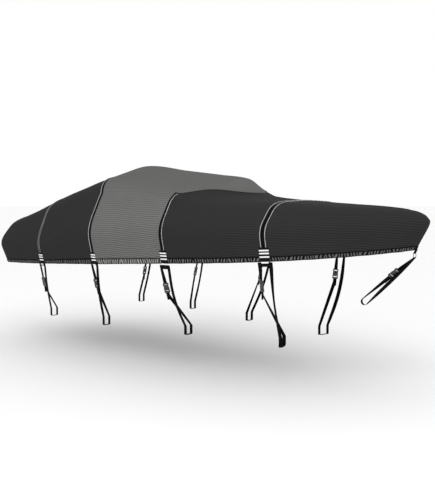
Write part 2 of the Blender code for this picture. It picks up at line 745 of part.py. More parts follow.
def plain_leg(top, foot, width, outboard, sag, turn):
    run = unit(foot - top)
    flat = unit(width - run * (width @ run))
    made = []
    for step in range(1, LEG_STEPS):
        share = step / LEG_STEPS
        swell = math.sin(math.pi * share)
        point = top + (foot - top) * share + outboard * (sag * swell)
        made.append((point, turned(flat, run, turn * swell)))
    return made


# Tabs and side straps
def side_strap(seam, side, label):
    frame = hem_frame(seam_station(seam), side)
    origin, ahead, out, up = frame
    strap_tab("tab_" + label, frame, seam["tab_w"], TAB_RISE, seam["tab_drop"], TAB_INSET, SLEEVE_D)
    middle = TAB_LIFT + SLEEVE_D / 2
    half = seam["tab_w"] / 2 + 0.006
    level = -seam["tab_drop"] + SLEEVE_H / 2
    straight = 0.040
    beam_front = np.array((origin[0], side * seam["foot_y"], BEAM_FOOT_Z))
    flat_out = unit(np.array((out[0], out[1], 0.0)))
    beam_back = beam_front - flat_out * seam["beam_d"]
    rise = np.array((0.0, 0.0, BEAM_H))
    aft_corner = place(frame, -half, middle, level)
    fore_corner = place(frame, half, middle, level)
    aft_top = aft_corner - up * straight
    fore_top = fore_corner - up * straight
    run = unit(np.array((aft_top[0], side * seam["knee_y"], seam["knee_z"])) - aft_top)
    across = turned(unit(ahead - run * (ahead @ run)), run, -side * seam["buckle_turn"])
    start = aft_top + run * (seam["buckle_drop"] - straight)
    entry, buckle_out = buckle_on(label, start, run, across * side)
    knee = entry - buckle_out * (TAIL_OFF / 2) + run * KNEE_RUN
    beam_front_top = beam_front + rise
    beam_back_top = beam_back + rise
    leg_turn = -side * seam["leg_turn"]
    stations = [(start + run * WEB_POCKET, -across)]
    stations += easing(start, -across, aft_top, -ahead)
    stations += [(aft_top, -ahead), (aft_corner, -ahead + up), (fore_corner, ahead + up), (fore_top, ahead)]
    stations += plain_leg(fore_top, beam_front_top, ahead, flat_out, seam["sag"], leg_turn)
    stations += [(beam_front_top, ahead), (beam_front, ahead), (beam_back, ahead), (beam_back_top, ahead)]
    stations += easing(beam_back_top, ahead, knee, across)
    stations += [(knee, across)]
    stations += fold_back(entry, run, buckle_out, across)
    ribbon("strap_" + label, stations, WEBBING)


for seam in SEAMS:
    for side, word in ((-1, "starboard"), (1, "port")):
        side_strap(seam, side, seam["seam"] + "_" + word)


# Bow tab, ring and strap
def bow_ring(top, down, across):
    out = unit(np.cross(across, down))
    path = []
    corners = ((1.0, 0.0, 1.0), (1.0, 1.0, 0.0), (-1.0, 1.0, 1.0), (-1.0, 0.0, 0.0))
    for side, low, first_flat in corners:
        flat = side * (RING_W / 2 - RING_BEND), low * RING_H
        upright = side * RING_W / 2, low * (RING_H - RING_BEND) + (1.0 - low) * RING_BEND
        path += [flat, upright] if first_flat else [upright, flat]
    loops = []
    for i, (x, y) in enumerate(path):
        before = np.array(path[i - 1])
        after = np.array(path[(i + 1) % len(path)])
        run = unit(after - before)
        sideways = across * -run[1] + down * run[0]
        centre = top + across * x + down * y
        turns = [math.pi * step / 3 for step in range(6)]
        loops.append([centre + (sideways * math.cos(a) + out * math.sin(a)) * RING_R for a in turns])
    return bar("bow_ring", loops, BUCKLE, True, endless=True)


def arc(centre, radius, first, second, turns):
    return [centre + (first * math.cos(a) + second * math.sin(a)) * radius
            for a in (math.pi * turn / 180.0 for turn in turns)]


def bow_strap():
    frame = hem_frame(STATION[-1], -1)
    strap_tab("bow_tab", frame, BOW_TAB_W, BOW_TAB_RISE, BOW_TAB_DROP, 0.0, BOW_SLEEVE_D)
    across = np.array((0.0, 1.0, 0.0))
    hang = -BOW_TAB_DROP + SLEEVE_WALL + RING_R + 0.0050
    top = place(frame, 0.0, TAB_LIFT + BOW_SLEEVE_D / 2, hang)
    down = unit(np.array((RING_LEAN, 0.0, -1.0)))
    bow_ring(top, down, across)
    low_bar = top + down * RING_H
    post = np.array((POST_X, 0.0, POST_Z))
    wrap = RING_R + WEB_T / 2 + 0.0006
    run = unit(post - low_bar)
    upper = -unit(np.cross(run, across))
    leg_top = low_bar + upper * wrap
    leg_end = post + upper * POST_R
    leg_run = unit(leg_end - leg_top)
    start = leg_top + leg_run * BOW_BUCKLE_DROP
    facing = turned(across, leg_run, BOW_TURN)
    entry, buckle_out = buckle_on("bow", start, leg_run, -facing)
    foot = entry - buckle_out * (TAIL_OFF / 2) + leg_run * KNEE_RUN
    ring_wrap = arc(low_bar, wrap, upper, -run, (0, 45, 90, 135, 180))
    post_wrap = arc(post, POST_R, -upper, run, (0, 36, 72, 108, 144, 180))
    stations = [(start + leg_run * WEB_POCKET, facing)]
    stations += easing(start, facing, ring_wrap[0], across)
    stations += [(point, across) for point in ring_wrap]
    stations += plain_leg(ring_wrap[-1], post_wrap[0], across, upper, 0.0, BOW_TURN)
    stations += [(point, across) for point in post_wrap]
    stations += easing(post_wrap[-1], across, foot, facing)
    stations += [(foot, facing)]
    stations += fold_back(entry, leg_run, buckle_out, facing)
    ribbon("strap_bow", stations, WEBBING)


bow_strap()
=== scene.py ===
import math

import bmesh
import bpy
import numpy as np
from mathutils import Matrix, Quaternion, Vector


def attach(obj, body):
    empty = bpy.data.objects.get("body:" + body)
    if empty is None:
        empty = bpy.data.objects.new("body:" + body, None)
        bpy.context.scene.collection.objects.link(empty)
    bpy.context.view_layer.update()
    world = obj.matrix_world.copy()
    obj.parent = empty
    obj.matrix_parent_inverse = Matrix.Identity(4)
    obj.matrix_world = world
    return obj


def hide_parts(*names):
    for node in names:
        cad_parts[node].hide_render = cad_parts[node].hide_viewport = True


# Fitted two-tone cover: five cloth panels drawn taut, seams covered with webbing and piping,
# striped tabs, buckled strap loops and a bow strap. Metres, +X to the bow, +Y to port, +Z up.
# A place on the cloth is along (metres along the widest line, from the stern), height (0 hem,
# 1 knuckle or widest line, 2 upper edge, 3 ridge) and side (-1 starboard, 1 port).

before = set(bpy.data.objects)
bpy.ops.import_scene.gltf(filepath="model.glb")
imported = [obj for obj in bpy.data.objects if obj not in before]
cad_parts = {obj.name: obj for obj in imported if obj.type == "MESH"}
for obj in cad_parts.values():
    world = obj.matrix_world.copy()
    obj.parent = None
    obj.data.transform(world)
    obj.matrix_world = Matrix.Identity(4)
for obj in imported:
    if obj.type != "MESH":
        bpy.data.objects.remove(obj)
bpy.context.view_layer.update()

knuckleAt, edgeAt, ridgeAt = 1.0, 2.0, 3.0
bothSides = (("starboard", -1.0), ("port", 1.0))

coverShape = {
    # hem, knuckle and upper edge of each rib as x y z, its ridge as x z, in millimetres
    "ribs": {
        "stern": ((-2070, 0, -1292), (-2187, 0, -987), (-2020, 0, -640), (-1790, -552)),
        "transom": ((-2070, 554, -1292), (-2178, 630, -991), (-2010, 525, -658), (-1740, -542)),
        "corner": ((-2024, 872, -1292), (-2106, 946, -1004), (-1922, 802, -684), (-1645, -514)),
        "quarter": ((-1596, 926, -1278), (-1615, 1003, -977), (-1558, 831, -595), (-1424, -452)),
        "seamA": ((-1095, 955, -1254), (-1095, 1027, -948), (-1095, 812, -442), (-1095, -318)),
        "aftMid": ((-574, 965, -1225), (-574, 1041, -862), (-574, 793, -289), (-574, -156)),
        "seamB": ((-50, 955, -1197), (-50, 1050, -776), (-50, 764, -212), (-50, 36.6)),
        "crown": ((533, 955, -1158), (533, 1041, -748), (533, 783, -246), (533, -42)),
        "seamC": ((1109, 945, -1120), (1109, 1031, -738), (1109, 802, -337), (1109, -106)),
        "screenTop": ((1431, 907, -1101), (1431, 993, -733), (1264, 760, -380), (1496, -152)),
        "screenFoot": ((1670, 879, -1087), (1670, 960, -729), (1572, 712, -424), (1704, -350)),
        "seamD": ((2300, 745, -1044), (2300, 812, -719), (2300, 583, -456), (2300, -436)),
        "fore": ((2797, 544, -1001), (2816, 621, -690), (2797, 439, -487), (2759, -464)),
        "shoulder": ((3227, 315, -953), (3293, 372, -662), (3255, 248, -519), (3160, -485)),
        "cheek": ((3465, 118, -920), (3590, 156, -649), (3540, 118, -552), (3370, -505)),
        "nose": ((3523, 0, -910), (3668, 0, -640), (3612, 0, -572), (3430, -512)),
    },
    "knuckleRound": 0.30, "edgeRound": 0.35, "ridgeRound": 0.25,
    # seam B runs aft as it climbs the roof: how far, from which height, and its reach lengthways
    "lean": 0.46, "leanFrom": 1.75, "leanReach": 0.95,
    # creases: from and to as (rib, height), side, half width and depth
    "creases": (
        (5.9, 1.95, 4.5, 1.20, -1, 0.16, 0.007),
        (5.8, 1.90, 4.4, 1.35, 1, 0.17, 0.006),
        (4.2, 1.80, 5.3, 2.30, -1, 0.15, 0.006),
        (3.1, 1.25, 1.9, 1.75, -1, 0.15, 0.006),
        (6.3, 1.40, 7.6, 1.15, -1, 0.17, 0.005),
        (6.4, 1.25, 7.5, 1.50, 1, 0.18, 0.006),
        (8.4, 1.80, 10.2, 1.25, -1, 0.18, 0.007),
        (8.6, 1.60, 10.4, 1.30, 1, 0.16, 0.006),
        (11.3, 1.60, 12.8, 1.25, -1, 0.13, 0.005),
        (11.4, 1.35, 12.6, 1.70, 1, 0.14, 0.005),
    ),
    # narrow tension ridges from the tabs: start, half width, depth, starboard end and port end
    "pulls": (
        (6.15, 0.42, 0.045, -0.0022, (6.9, 0.95), (6.8, 0.90)),
        (5.85, 0.42, 0.050, -0.0024, (5.1, 0.90), (5.2, 0.95)),
        (8.15, 0.40, 0.045, -0.0022, (8.9, 0.80), (8.8, 0.85)),
        (7.85, 0.40, 0.050, -0.0022, (7.1, 0.85), (7.2, 0.80)),
        (11.1, 0.45, 0.045, -0.0024, (11.9, 0.85), (11.8, 0.80)),
        (10.85, 0.45, 0.045, -0.0022, (10.3, 0.85), (10.2, 0.90)),
        (4.15, 0.42, 0.050, -0.0022, (4.9, 0.90), (4.8, 0.95)),
        (3.85, 0.42, 0.050, -0.0022, (3.1, 0.85), (3.2, 0.80)),
    ),
    "drift": 0.0012,  # slow unevenness of the whole cloth
    "creaseClear": (0.08, 0.20),  # distances from a seam where creases start and are full
}

ribNames = list(coverShape["ribs"])
control = np.array([
    (hem, knuckle, edge, (ridge[0], 0.0, ridge[1]))
    for hem, knuckle, edge, ridge in coverShape["ribs"].values()
]) / 1000.0
ribSteps = np.linalg.norm(np.diff(control[:, 1], axis=0), axis=1)
station = np.concatenate(([0.0], np.cumsum(ribSteps)))
bowEnd = station[-1]
seamAt = {letter: station[ribNames.index("seam" + letter.upper())] for letter in "abcd"}

folds = list(coverShape["creases"])
for fromRib, fromHeight, halfWidth, depth, starboardEnd, portEnd in coverShape["pulls"]:
    folds.append((fromRib, fromHeight, *starboardEnd, -1, halfWidth, depth))
    folds.append((fromRib, fromHeight, *portEnd, 1, halfWidth, depth))


def unit(vector):
    return vector / np.linalg.norm(vector)


def asRows(*values):
    return (np.atleast_1d(np.asarray(value, dtype=float)) for value in values)


def divided(start, end, count):
    return [start + (end - start) * i / count for i in range(count + 1)]


def evenly(start, end, step):
    return divided(start, end, max(1, round(abs(end - start) / step)))


def lengthsAlong(points):
    steps = np.linalg.norm(np.diff(np.asarray(points), axis=0), axis=1)
    return np.concatenate(([0.0], np.cumsum(steps)))


def ribSlopes():
    # slopes that never swing past the ribs on either side
    step = np.diff(station)[:, None, None]
    rise = np.diff(control, axis=0) / step
    before = 2.0 * step[1:] + step[:-1]
    after = step[1:] + 2.0 * step[:-1]
    sameWay = rise[:-1] * rise[1:] > 0.0
    first, second = np.where(sameWay, rise[:-1], 1.0), np.where(sameWay, rise[1:], 1.0)
    slopes = np.zeros_like(control)
    slopes[1:-1] = np.where(sameWay, (before + after) / (before / first + after / second), 0.0)
    slopes[0, :, 1] = rise[0, :, 1]
    slopes[-1, :, 1] = rise[-1, :, 1]
    return slopes


slopes = ribSlopes()


def ribAt(along):
    # the four corners of the half section at each distance along the knuckle line
    cell = np.clip(np.searchsorted(station, along) - 1, 0, len(station) - 2)
    step = (station[cell + 1] - station[cell])[:, None, None]
    share = (along - station[cell])[:, None, None] / step
    keep = (1.0 + 2.0 * share) * (1.0 - share) ** 2
    lead = share * (1.0 - share) ** 2 * step
    take = share ** 2 * (3.0 - 2.0 * share)
    trail = share ** 2 * (share - 1.0) * step
    before = control[cell] * keep + slopes[cell] * lead
    return before + control[cell + 1] * take + slopes[cell + 1] * trail


def rounded(before, corner, after, share):
    share = share[:, None]
    near = before * (1.0 - share) ** 2 + corner * (2.0 * share * (1.0 - share))
    return near + after * share ** 2


def leaned(along, height):
    rise = ridgeAt - coverShape["leanFrom"]
    share = np.clip((height - coverShape["leanFrom"]) / rise, 0.0, 1.0)
    off = np.minimum(abs(along - seamAt["b"]) / coverShape["leanReach"], 1.0)
    return along - coverShape["lean"] * share * (1.0 - off * off) ** 2


def barePoint(along, height, side):
    along, height, side = asRows(along, height, side)
    rib = ribAt(leaned(along, height))
    cell = np.clip(height.astype(int), 0, 2)
    row = np.arange(len(height))
    share = (height - cell)[:, None]
    point = rib[row, cell] * (1.0 - share) + rib[row, cell + 1] * share
    for corner, reach in ((1, coverShape["knuckleRound"]), (2, coverShape["edgeRound"])):
        near = abs(height - corner) < reach
        middle = rib[near, corner]
        low = middle + (rib[near, corner - 1] - middle) * reach
        high = middle + (rib[near, corner + 1] - middle) * reach
        share = (height[near] - corner + reach) / (2.0 * reach)
        point[near] = rounded(low, middle, high, share)
    reach = coverShape["ridgeRound"]
    near = height > ridgeAt - reach
    top = rib[near, 3]
    low = top + (rib[near, 2] - top) * reach
    share = (height[near] - ridgeAt + reach) / (2.0 * reach)
    point[near] = rounded(low, top, low * (1.0, -1.0, 1.0), share)
    point[:, 1] *= side
    return point


def outward(along, height, side):
    reach = 0.004
    inner = np.clip(along, reach, bowEnd - reach)
    ahead = barePoint(inner + reach, height, side) - barePoint(inner - reach, height, side)
    low, high = np.maximum(height - reach, 0.0), np.minimum(height + reach, ridgeAt)
    upward = barePoint(inner, high, side) - barePoint(inner, low, side)
    normal = np.cross(ahead, upward) * -np.asarray(side, dtype=float)[:, None]
    centre = abs(barePoint(along, height, side)[:, 1]) < 1e-6
    normal[centre, 1] = 0.0
    return normal / np.linalg.norm(normal, axis=1)[:, None]


def nearSeam(along, inner, outer):
    # 0 beside a seam's tab or at the nose, 1 from outer on
    nearest = np.min([abs(along - place) for place in (*seamAt.values(), bowEnd)], axis=0)
    share = np.clip((nearest - inner) / (outer - inner), 0.0, 1.0)
    return share * share * (3.0 - 2.0 * share)


def foldDepth(along, height, side):
    total = np.zeros(len(along))
    index = np.arange(len(station))
    for along0, height0, along1, height1, foldSide, halfWidth, depth in folds:
        start, end = np.interp((along0, along1), index, station)
        line = np.array((end - start, (height1 - height0) * 0.5))
        here = np.stack((along - start, (height - height0) * 0.5), axis=1)
        share = np.clip(here @ line / (line @ line), 0.0, 1.0)
        off = np.linalg.norm(here - line * share[:, None], axis=1) / halfWidth
        shape = (1.0 - np.minimum(off, 1.0) ** 2) ** 2 * np.sin(np.pi * (0.15 + 0.7 * share))
        total += np.where(side == foldSide, depth * shape, 0.0)
    return total


print("cover shape ready:", len(ribNames), "ribs")


# the hem is a channel of drawn-in elastic, gathered unevenly
hemShape = {
    "top": 0.150,  # height of the channel's stitch line, as a share of the skirt
    "reach": 0.6,  # the hem shapes the cloth up to here
    "bulge": 0.0035,  # how far the channel stands out
    "stitchPull": 0.0030, "stitchReach": 0.10,  # how far its stitch line pulls in, and how wide
    "pitch": 0.034,  # from gather to gather
    "gather": 0.0046,  # height of a gather
    "slant": 0.42,  # how far a gather leans, in gathers
    "edgeGather": 0.35,  # share of a gather left at the channel's edges
    "fade": 0.9,  # how far above the channel gathers die out, in channel heights
    "uneven": 0.14,  # how much gathers differ in size
    "wander": ((0.009, 17.3, 0.8), (0.005, 41.0, 2.1), (0.0025, 97.0, 0.0)),  # size, rate, start
    "wave": 0.0024,  # slow waviness of the whole hem
    "tabClear": (0.045, 0.075), "waveClear": (0.10, 0.20),  # distances kept from a seam
}


def hemFolds(along, height, side):
    # how far the cloth stands out, and -1 to 1 from trough to crest
    share = height / hemShape["top"]
    # gathers are full in the channel, weaker at its two edges, and die out above it
    inside = np.clip(np.sin(np.pi * np.clip(share, 0.0, 1.0)), 0.0, 1.0)
    weak = hemShape["edgeGather"]
    above = weak * np.exp(-((share - 1.0) / hemShape["fade"]) ** 2)
    band = np.where(share < 1.0, weak + (1.0 - weak) * inside ** 0.6, above)
    run = along * side
    warp = run + sum(size * np.sin(run * rate + start) for size, rate, start in hemShape["wander"])
    turn = math.tau * warp / hemShape["pitch"]
    lean = hemShape["slant"] * math.tau * (share - 0.5)
    # some stretches lean one way and some the other, and their size varies
    choice = 0.5 + 0.5 * np.tanh(4.0 * np.sin(run * 23.0 + 1.9 * np.sin(run * 7.3)))
    ruffle = choice * np.sin(turn + lean) + (1.0 - choice) * np.sin(turn * 1.07 - lean)
    uneven = hemShape["uneven"]
    size = 1.0 - uneven + uneven * np.sin(run * 31.0 + 0.4) * np.sin(run * 12.7)
    free = nearSeam(along, *hemShape["tabClear"])
    crest = ruffle * size * band * free
    wave = np.sin(along * 21.0) + 0.6 * np.sin(along * 33.7 + 1.3)
    slow = wave * np.clip(1.0 - share, 0.0, 1.0) * nearSeam(along, *hemShape["waveClear"])
    stitch = np.exp(-((share - 1.0) / hemShape["stitchReach"]) ** 2) * free
    out = hemShape["bulge"] * inside ** 0.8 * free + hemShape["gather"] * crest
    return out - hemShape["stitchPull"] * stitch - hemShape["wave"] * slow, crest


def coverPoint(along, height, side, lift=0.0):
    along, height, side = asRows(along, height, side)
    drift = np.sin(along * 5.1 + height * 2.3) * np.sin(height * 4.7 - along * 1.9 + side)
    drift *= coverShape["drift"] * np.clip(height - 0.3, 0.0, 1.0)
    inward = foldDepth(along, height, side) + drift
    inward *= nearSeam(along, *coverShape["creaseClear"])
    inward *= np.clip((ridgeAt - height) / 0.25, 0.0, 1.0)
    hem = hemFolds(along, height, side)[0]
    out = lift - inward + np.where(height < hemShape["reach"], hem, 0.0)
    return barePoint(along, height, side) + outward(along, height, side) * out[:, None]


# length of cloth from the hem up to each height, for a row of places lengthways
girthSize = (150, 121)
girths = np.array([
    lengthsAlong(barePoint(np.full(girthSize[1], along), np.linspace(0.0, ridgeAt, girthSize[1]),
                           np.full(girthSize[1], -1.0)))
    for along in np.linspace(0.0, bowEnd, girthSize[0])
])


def girthAt(along, height):
    column, row = girthSize[0] - 1, girthSize[1] - 1
    a = np.clip(along / bowEnd * column, 0.0, column - 0.001)
    h = np.clip(height / ridgeAt * row, 0.0, row - 0.001)
    i, j = a.astype(int), h.astype(int)
    u, v = a - i, h - j
    low = girths[i, j] * (1.0 - v) + girths[i, j + 1] * v
    high = girths[i + 1, j] * (1.0 - v) + girths[i + 1, j + 1] * v
    return low * (1.0 - u) + high * u


def joinTo(tree, value, socket):
    # a number or a colour is set on the socket, an output is linked to it
    if isinstance(value, (int, float)):
        socket.default_value = value
    elif isinstance(value, tuple):
        socket.default_value = (*value, 1.0)
    else:
        tree.links.new(value, socket)


def feed(tree, sockets, **values):
    for label, value in values.items():
        joinTo(tree, value, sockets[label.replace("_", " ")])


def newGroup(name, inputs, outputs):
    group = bpy.data.node_groups.new(name, "ShaderNodeTree")
    for label, kind, value in inputs:
        socket = group.interface.new_socket(label, in_out="INPUT", socket_type=kind)
        if value is not None:
            socket.default_value = value
    for label in outputs:
        group.interface.new_socket(label, in_out="OUTPUT", socket_type="NodeSocketFloat")
    start, end = group.nodes.new("NodeGroupInput"), group.nodes.new("NodeGroupOutput")
    return group, start.outputs, end.inputs


def groupNode(tree, group, **values):
    node = tree.nodes.new("ShaderNodeGroup")
    node.node_tree = group
    feed(tree, node.inputs, **values)
    return node.outputs


def mathNode(tree, operation, *values, clamp=False):
    node = tree.nodes.new("ShaderNodeMath")
    node.operation = operation
    node.use_clamp = clamp
    for value, socket in zip(values, node.inputs):
        joinTo(tree, value, socket)
    return node.outputs[0]


def plus(tree, first, second, clamp=False):
    return mathNode(tree, "ADD", first, second, clamp=clamp)


def times(tree, first, second, clamp=False):
    return mathNode(tree, "MULTIPLY", first, second, clamp=clamp)


def minus(tree, first, second, clamp=False):
    return mathNode(tree, "SUBTRACT", first, second, clamp=clamp)


def waveOf(tree, value, pitch):
    return mathNode(tree, "SINE", times(tree, mathNode(tree, "DIVIDE", value, pitch), math.tau))


def rangeNode(tree, value, fromLow, fromHigh, toLow, toHigh):
    node = tree.nodes.new("ShaderNodeMapRange")
    feed(tree, node.inputs, Value=value, From_Min=fromLow, From_Max=fromHigh, To_Min=toLow,
         To_Max=toHigh)
    return node.outputs["Result"]


def noiseNode(tree, vector, scale, detail=2.0, roughness=0.5):
    node = tree.nodes.new("ShaderNodeTexNoise")
    feed(tree, node.inputs, Vector=vector, Scale=scale, Detail=detail, Roughness=roughness)
    return node.outputs["Fac"]


def axesOf(tree, vector):
    node = tree.nodes.new("ShaderNodeSeparateXYZ")
    tree.links.new(vector, node.inputs[0])
    return node.outputs


def mapOf(tree, label):
    node = tree.nodes.new("ShaderNodeUVMap")
    node.uv_map = label
    return node.outputs["UV"]


def attributeOf(tree, label):
    node = tree.nodes.new("ShaderNodeAttribute")
    node.attribute_name = label
    return node.outputs["Fac"]


def objectPlace(tree):
    return tree.nodes.new("ShaderNodeTexCoord").outputs["Object"]


def upwardOf(tree, kind):
    return axesOf(tree, tree.nodes.new("ShaderNodeNewGeometry").outputs[kind])["Z"]


def mixColour(tree, factor, first, second):
    node = tree.nodes.new("ShaderNodeMix")
    node.data_type = "RGBA"
    joinTo(tree, factor, node.inputs["Factor"])
    for label, value in (("A", first), ("B", second)):
        joinTo(tree, value, [s for s in node.inputs if s.name == label and s.type == "RGBA"][0])
    return [s for s in node.outputs if s.type == "RGBA"][0]


def scaleColour(tree, colour, factor):
    node = tree.nodes.new("ShaderNodeVectorMath")
    node.operation = "SCALE"
    if isinstance(colour, tuple):
        node.inputs[0].default_value = colour
    else:
        tree.links.new(colour, node.inputs[0])
    tree.links.new(factor, node.inputs["Scale"])
    return node.outputs[0]


def bumpNode(tree, height, strength, distance, normal=None):
    node = tree.nodes.new("ShaderNodeBump")
    feed(tree, node.inputs, Height=height, Strength=strength, Distance=distance)
    if normal is not None:
        tree.links.new(normal, node.inputs["Normal"])
    return node.outputs["Normal"]


def tone(value, warmth=0.0):
    # linear colour of a grey from 0 to 255
    level = ((value / 255.0 + 0.055) / 1.055) ** 2.4
    return (level * (1.0 + warmth), level, level * (1.0 - warmth))


def clothWeaveGroup():
    # woven polyester: cross ribs that read as fine level lines, threads, and a slow mottle
    group, start, end = newGroup("clothWeave", (
        ("Surface", "NodeSocketVector", None),
        ("Rib Pitch", "NodeSocketFloat", 0.03),
        ("Thread Pitch", "NodeSocketFloat", 0.0016),
    ), ("Rib", "Thread", "Mottle"))
    surface = start["Surface"]
    along, up = axesOf(group, surface)[:2]
    bend = times(group, minus(group, noiseNode(group, surface, 1.7, 1.0), 0.5), 0.05)
    level = plus(group, up, plus(group, bend, times(group, along, 0.105)))
    strength = rangeNode(group, noiseNode(group, surface, 16.0, 3.0), 0.34, 0.62, 0.20, 1.0)
    warp = waveOf(group, along, start["Thread Pitch"])
    weft = waveOf(group, up, start["Thread Pitch"])
    feed(group, end, Rib=times(group, waveOf(group, level, start["Rib Pitch"]), strength),
         Thread=times(group, warp, weft), Mottle=noiseNode(group, surface, 3.1, 4.0, 0.6))
    return group


def dustGroup():
    # dust that settles on upward faces, as a mask
    group, start, end = newGroup("settledDust", (
        ("Place", "NodeSocketVector", None),
        ("Upward", "NodeSocketFloat", 0.5),
    ), ("Dust",))
    cloud = rangeNode(group, noiseNode(group, start["Place"], 2.4, 5.0, 0.62), 0.35, 0.75, 0.0, 1.0)
    fine = rangeNode(group, noiseNode(group, start["Place"], 60.0, 2.0, 0.6), 0.2, 0.8, 0.6, 1.0)
    level = rangeNode(group, start["Upward"], 0.2, 1.0, 0.25, 1.0)
    feed(group, end, Dust=times(group, times(group, cloud, level), fine, clamp=True))
    return group


def webbingGroup():
    # woven tape: diagonal twill ribs across U, fine lines across the width, slight fuzz
    group, start, end = newGroup("webbingWeave", (
        ("Surface", "NodeSocketVector", None),
        ("Pitch", "NodeSocketFloat", 0.0028),
    ), ("Height", "Tone"))
    across, along = axesOf(group, start["Surface"])[:2]
    zig = mathNode(group, "PINGPONG", across, 0.0045)
    ribs = waveOf(group, plus(group, along, zig), start["Pitch"])
    ends = waveOf(group, across, 0.0022)
    height = plus(group, times(group, ribs, 0.6), times(group, ends, 0.4))
    fuzz = noiseNode(group, start["Surface"], 140.0, 3.0, 0.7)
    feed(group, end, Height=height, Tone=plus(group, times(group, height, 0.25), fuzz))
    return group


def stitchGroup():
    # a row of thread stitches, as a mask: Off is the distance from the row, Run the way along it
    group, start, end = newGroup("threadStitch", (
        ("Off", "NodeSocketFloat", 1.0),
        ("Run", "NodeSocketFloat", 0.0),
        ("Pitch", "NodeSocketFloat", 0.0065),
        ("Half", "NodeSocketFloat", 0.0007),
    ), ("Mask",))
    off = mathNode(group, "DIVIDE", start["Off"], start["Half"])
    row = minus(group, 1.0, times(group, off, off), clamp=True)
    wave = waveOf(group, start["Run"], start["Pitch"])
    dash = mathNode(group, "MULTIPLY_ADD", wave, 3.0, 1.6, clamp=True)
    feed(group, end, Mask=times(group, row, dash))
    return group


stitchMaskGroup = stitchGroup()
weaveGroup = clothWeaveGroup()
dustMaskGroup = dustGroup()
tapeGroup = webbingGroup()


def stitchMask(tree, distance, row, run):
    # stitches along the line where the distance equals row
    return groupNode(tree, stitchMaskGroup, Off=minus(tree, distance, row), Run=run)["Mask"]


def tapeColour(tree, weave, dark, light):
    # woven tape between two greys
    return mixColour(tree, rangeNode(tree, weave["Tone"], 0.25, 0.85, 0.0, 1.0), tone(dark),
                     tone(light))


def newMaterial(name, roughness, **sockets):
    made = bpy.data.materials.new(name)
    made.use_nodes = True
    shader = made.node_tree.nodes["Principled BSDF"].inputs
    feed(made.node_tree, shader, Roughness=roughness, **sockets)
    return made, made.node_tree, shader


# greys from 0 to 255; rib is how strongly the cross ribs show, upper scales flat tops as painted
# light and shade
clothLook = {
    # crest and trough are the painted highlight and the painted shade of the hem's gathers
    "darkPolyester": {"base": 46.0, "crest": 118.0, "trough": 3.0, "dust": 60.0, "rib": 0.36,
                      "warmth": 0.0, "upper": 1.04},
    "greyPolyester": {"base": 104.0, "crest": 172.0, "trough": 20.0, "dust": 116.0, "rib": 0.42,
                      "warmth": 0.012, "upper": 0.80},
    "ribPitch": 0.0248, "threadPitch": 0.0018, "roughness": 0.92,
    "mottle": 0.035, "threads": 0.03, "dustShare": 0.10, "stitchLight": 1.15,
}


def clothMaterial(name):
    look = clothLook[name]
    base, crest, trough, dust = (
        tone(look[part], look["warmth"]) for part in ("base", "crest", "trough", "dust"))
    made, tree, shader = newMaterial(name, clothLook["roughness"], Specular_IOR_Level=0.04)
    surface = mapOf(tree, "clothMap")
    weave = groupNode(tree, weaveGroup, Surface=surface, Rib_Pitch=clothLook["ribPitch"],
                      Thread_Pitch=clothLook["threadPitch"])
    paintedHemShading = attributeOf(tree, "paintedHemShading")
    # ribs darken and lighten the cloth a little, most low on the skirt
    swing = times(tree, times(tree, weave["Rib"], attributeOf(tree, "ribShow")), look["rib"])
    blotch = clothLook["mottle"]
    mottle = rangeNode(tree, weave["Mottle"], 0.3, 0.7, -blotch, blotch)
    threads = times(tree, weave["Thread"], clothLook["threads"])
    level = plus(tree, plus(tree, swing, mottle), plus(tree, threads, 1.0))
    cloth = scaleColour(tree, base, level)
    # painted highlight on the hem's gather crests, painted shade in its troughs, along its stitch
    # line and at its edge
    folded = mixColour(tree, rangeNode(tree, paintedHemShading, 0.0, 0.9, 0.0, 0.85), cloth, crest)
    troughShaded = mixColour(tree, rangeNode(tree, paintedHemShading, 0.0, -0.8, 0.0, 0.9), folded, trough)
    upward = upwardOf(tree, "Normal")
    settled = groupNode(tree, dustMaskGroup, Place=objectPlace(tree), Upward=upward)["Dust"]
    dusty = mixColour(tree, times(tree, settled, clothLook["dustShare"]), troughShaded, dust)
    # flat tops keep their own share of the light, as in the photograph
    # painted light on the dark cloth's flat tops and painted shade on the grey cloth's, by how far
    # a face turns up
    lit = scaleColour(tree, dusty, rangeNode(tree, upward, 0.55, 1.0, 1.0, look["upper"]))
    thread = stitchMask(tree, attributeOf(tree, "hemRow"), 0.0, axesOf(tree, surface)["X"])
    pale = tone(look["base"] * clothLook["stitchLight"], look["warmth"])
    sewn = mixColour(tree, times(tree, thread, 0.8), lit, pale)
    ribBump = bumpNode(tree, weave["Rib"], 0.25, 0.0006)
    threadBump = bumpNode(tree, weave["Thread"], 0.35, 0.00025, ribBump)
    feed(tree, shader, Base_Color=sewn, Normal=bumpNode(tree, thread, 0.6, 0.0008, threadBump),
         Roughness=rangeNode(tree, weave["Mottle"], 0.3, 0.7, 0.88, 0.96))
    return made


liningLook = {"dark": 40.0, "light": 52.0, "roughness": 0.6, "patchScale": 5.0}


def liningMaterial():
    # coated inner face of the cloth: flatter, a little glossier, with coating creases
    made, tree, shader = newMaterial("innerCoating", liningLook["roughness"],
                                     Specular_IOR_Level=0.4)
    place = objectPlace(tree)
    patch = noiseNode(tree, place, liningLook["patchScale"], 4.0)
    colour = mixColour(tree, rangeNode(tree, patch, 0.35, 0.65, 0.0, 1.0), tone(liningLook["dark"]),
                       tone(liningLook["light"]))
    feed(tree, shader, Base_Color=colour, Roughness=rangeNode(tree, patch, 0.3, 0.7, 0.5, 0.68),
         Normal=bumpNode(tree, noiseNode(tree, place, 220.0, 2.0), 0.2, 0.0004))
    return made


# dark and light greys of the weave; stitchRow is from the webbing's edge to its row of stitches
webbingLook = {"dark": 2.0, "light": 9.0, "roughness": 0.85, "thread": 19.8, "stitchRow": 0.0125}


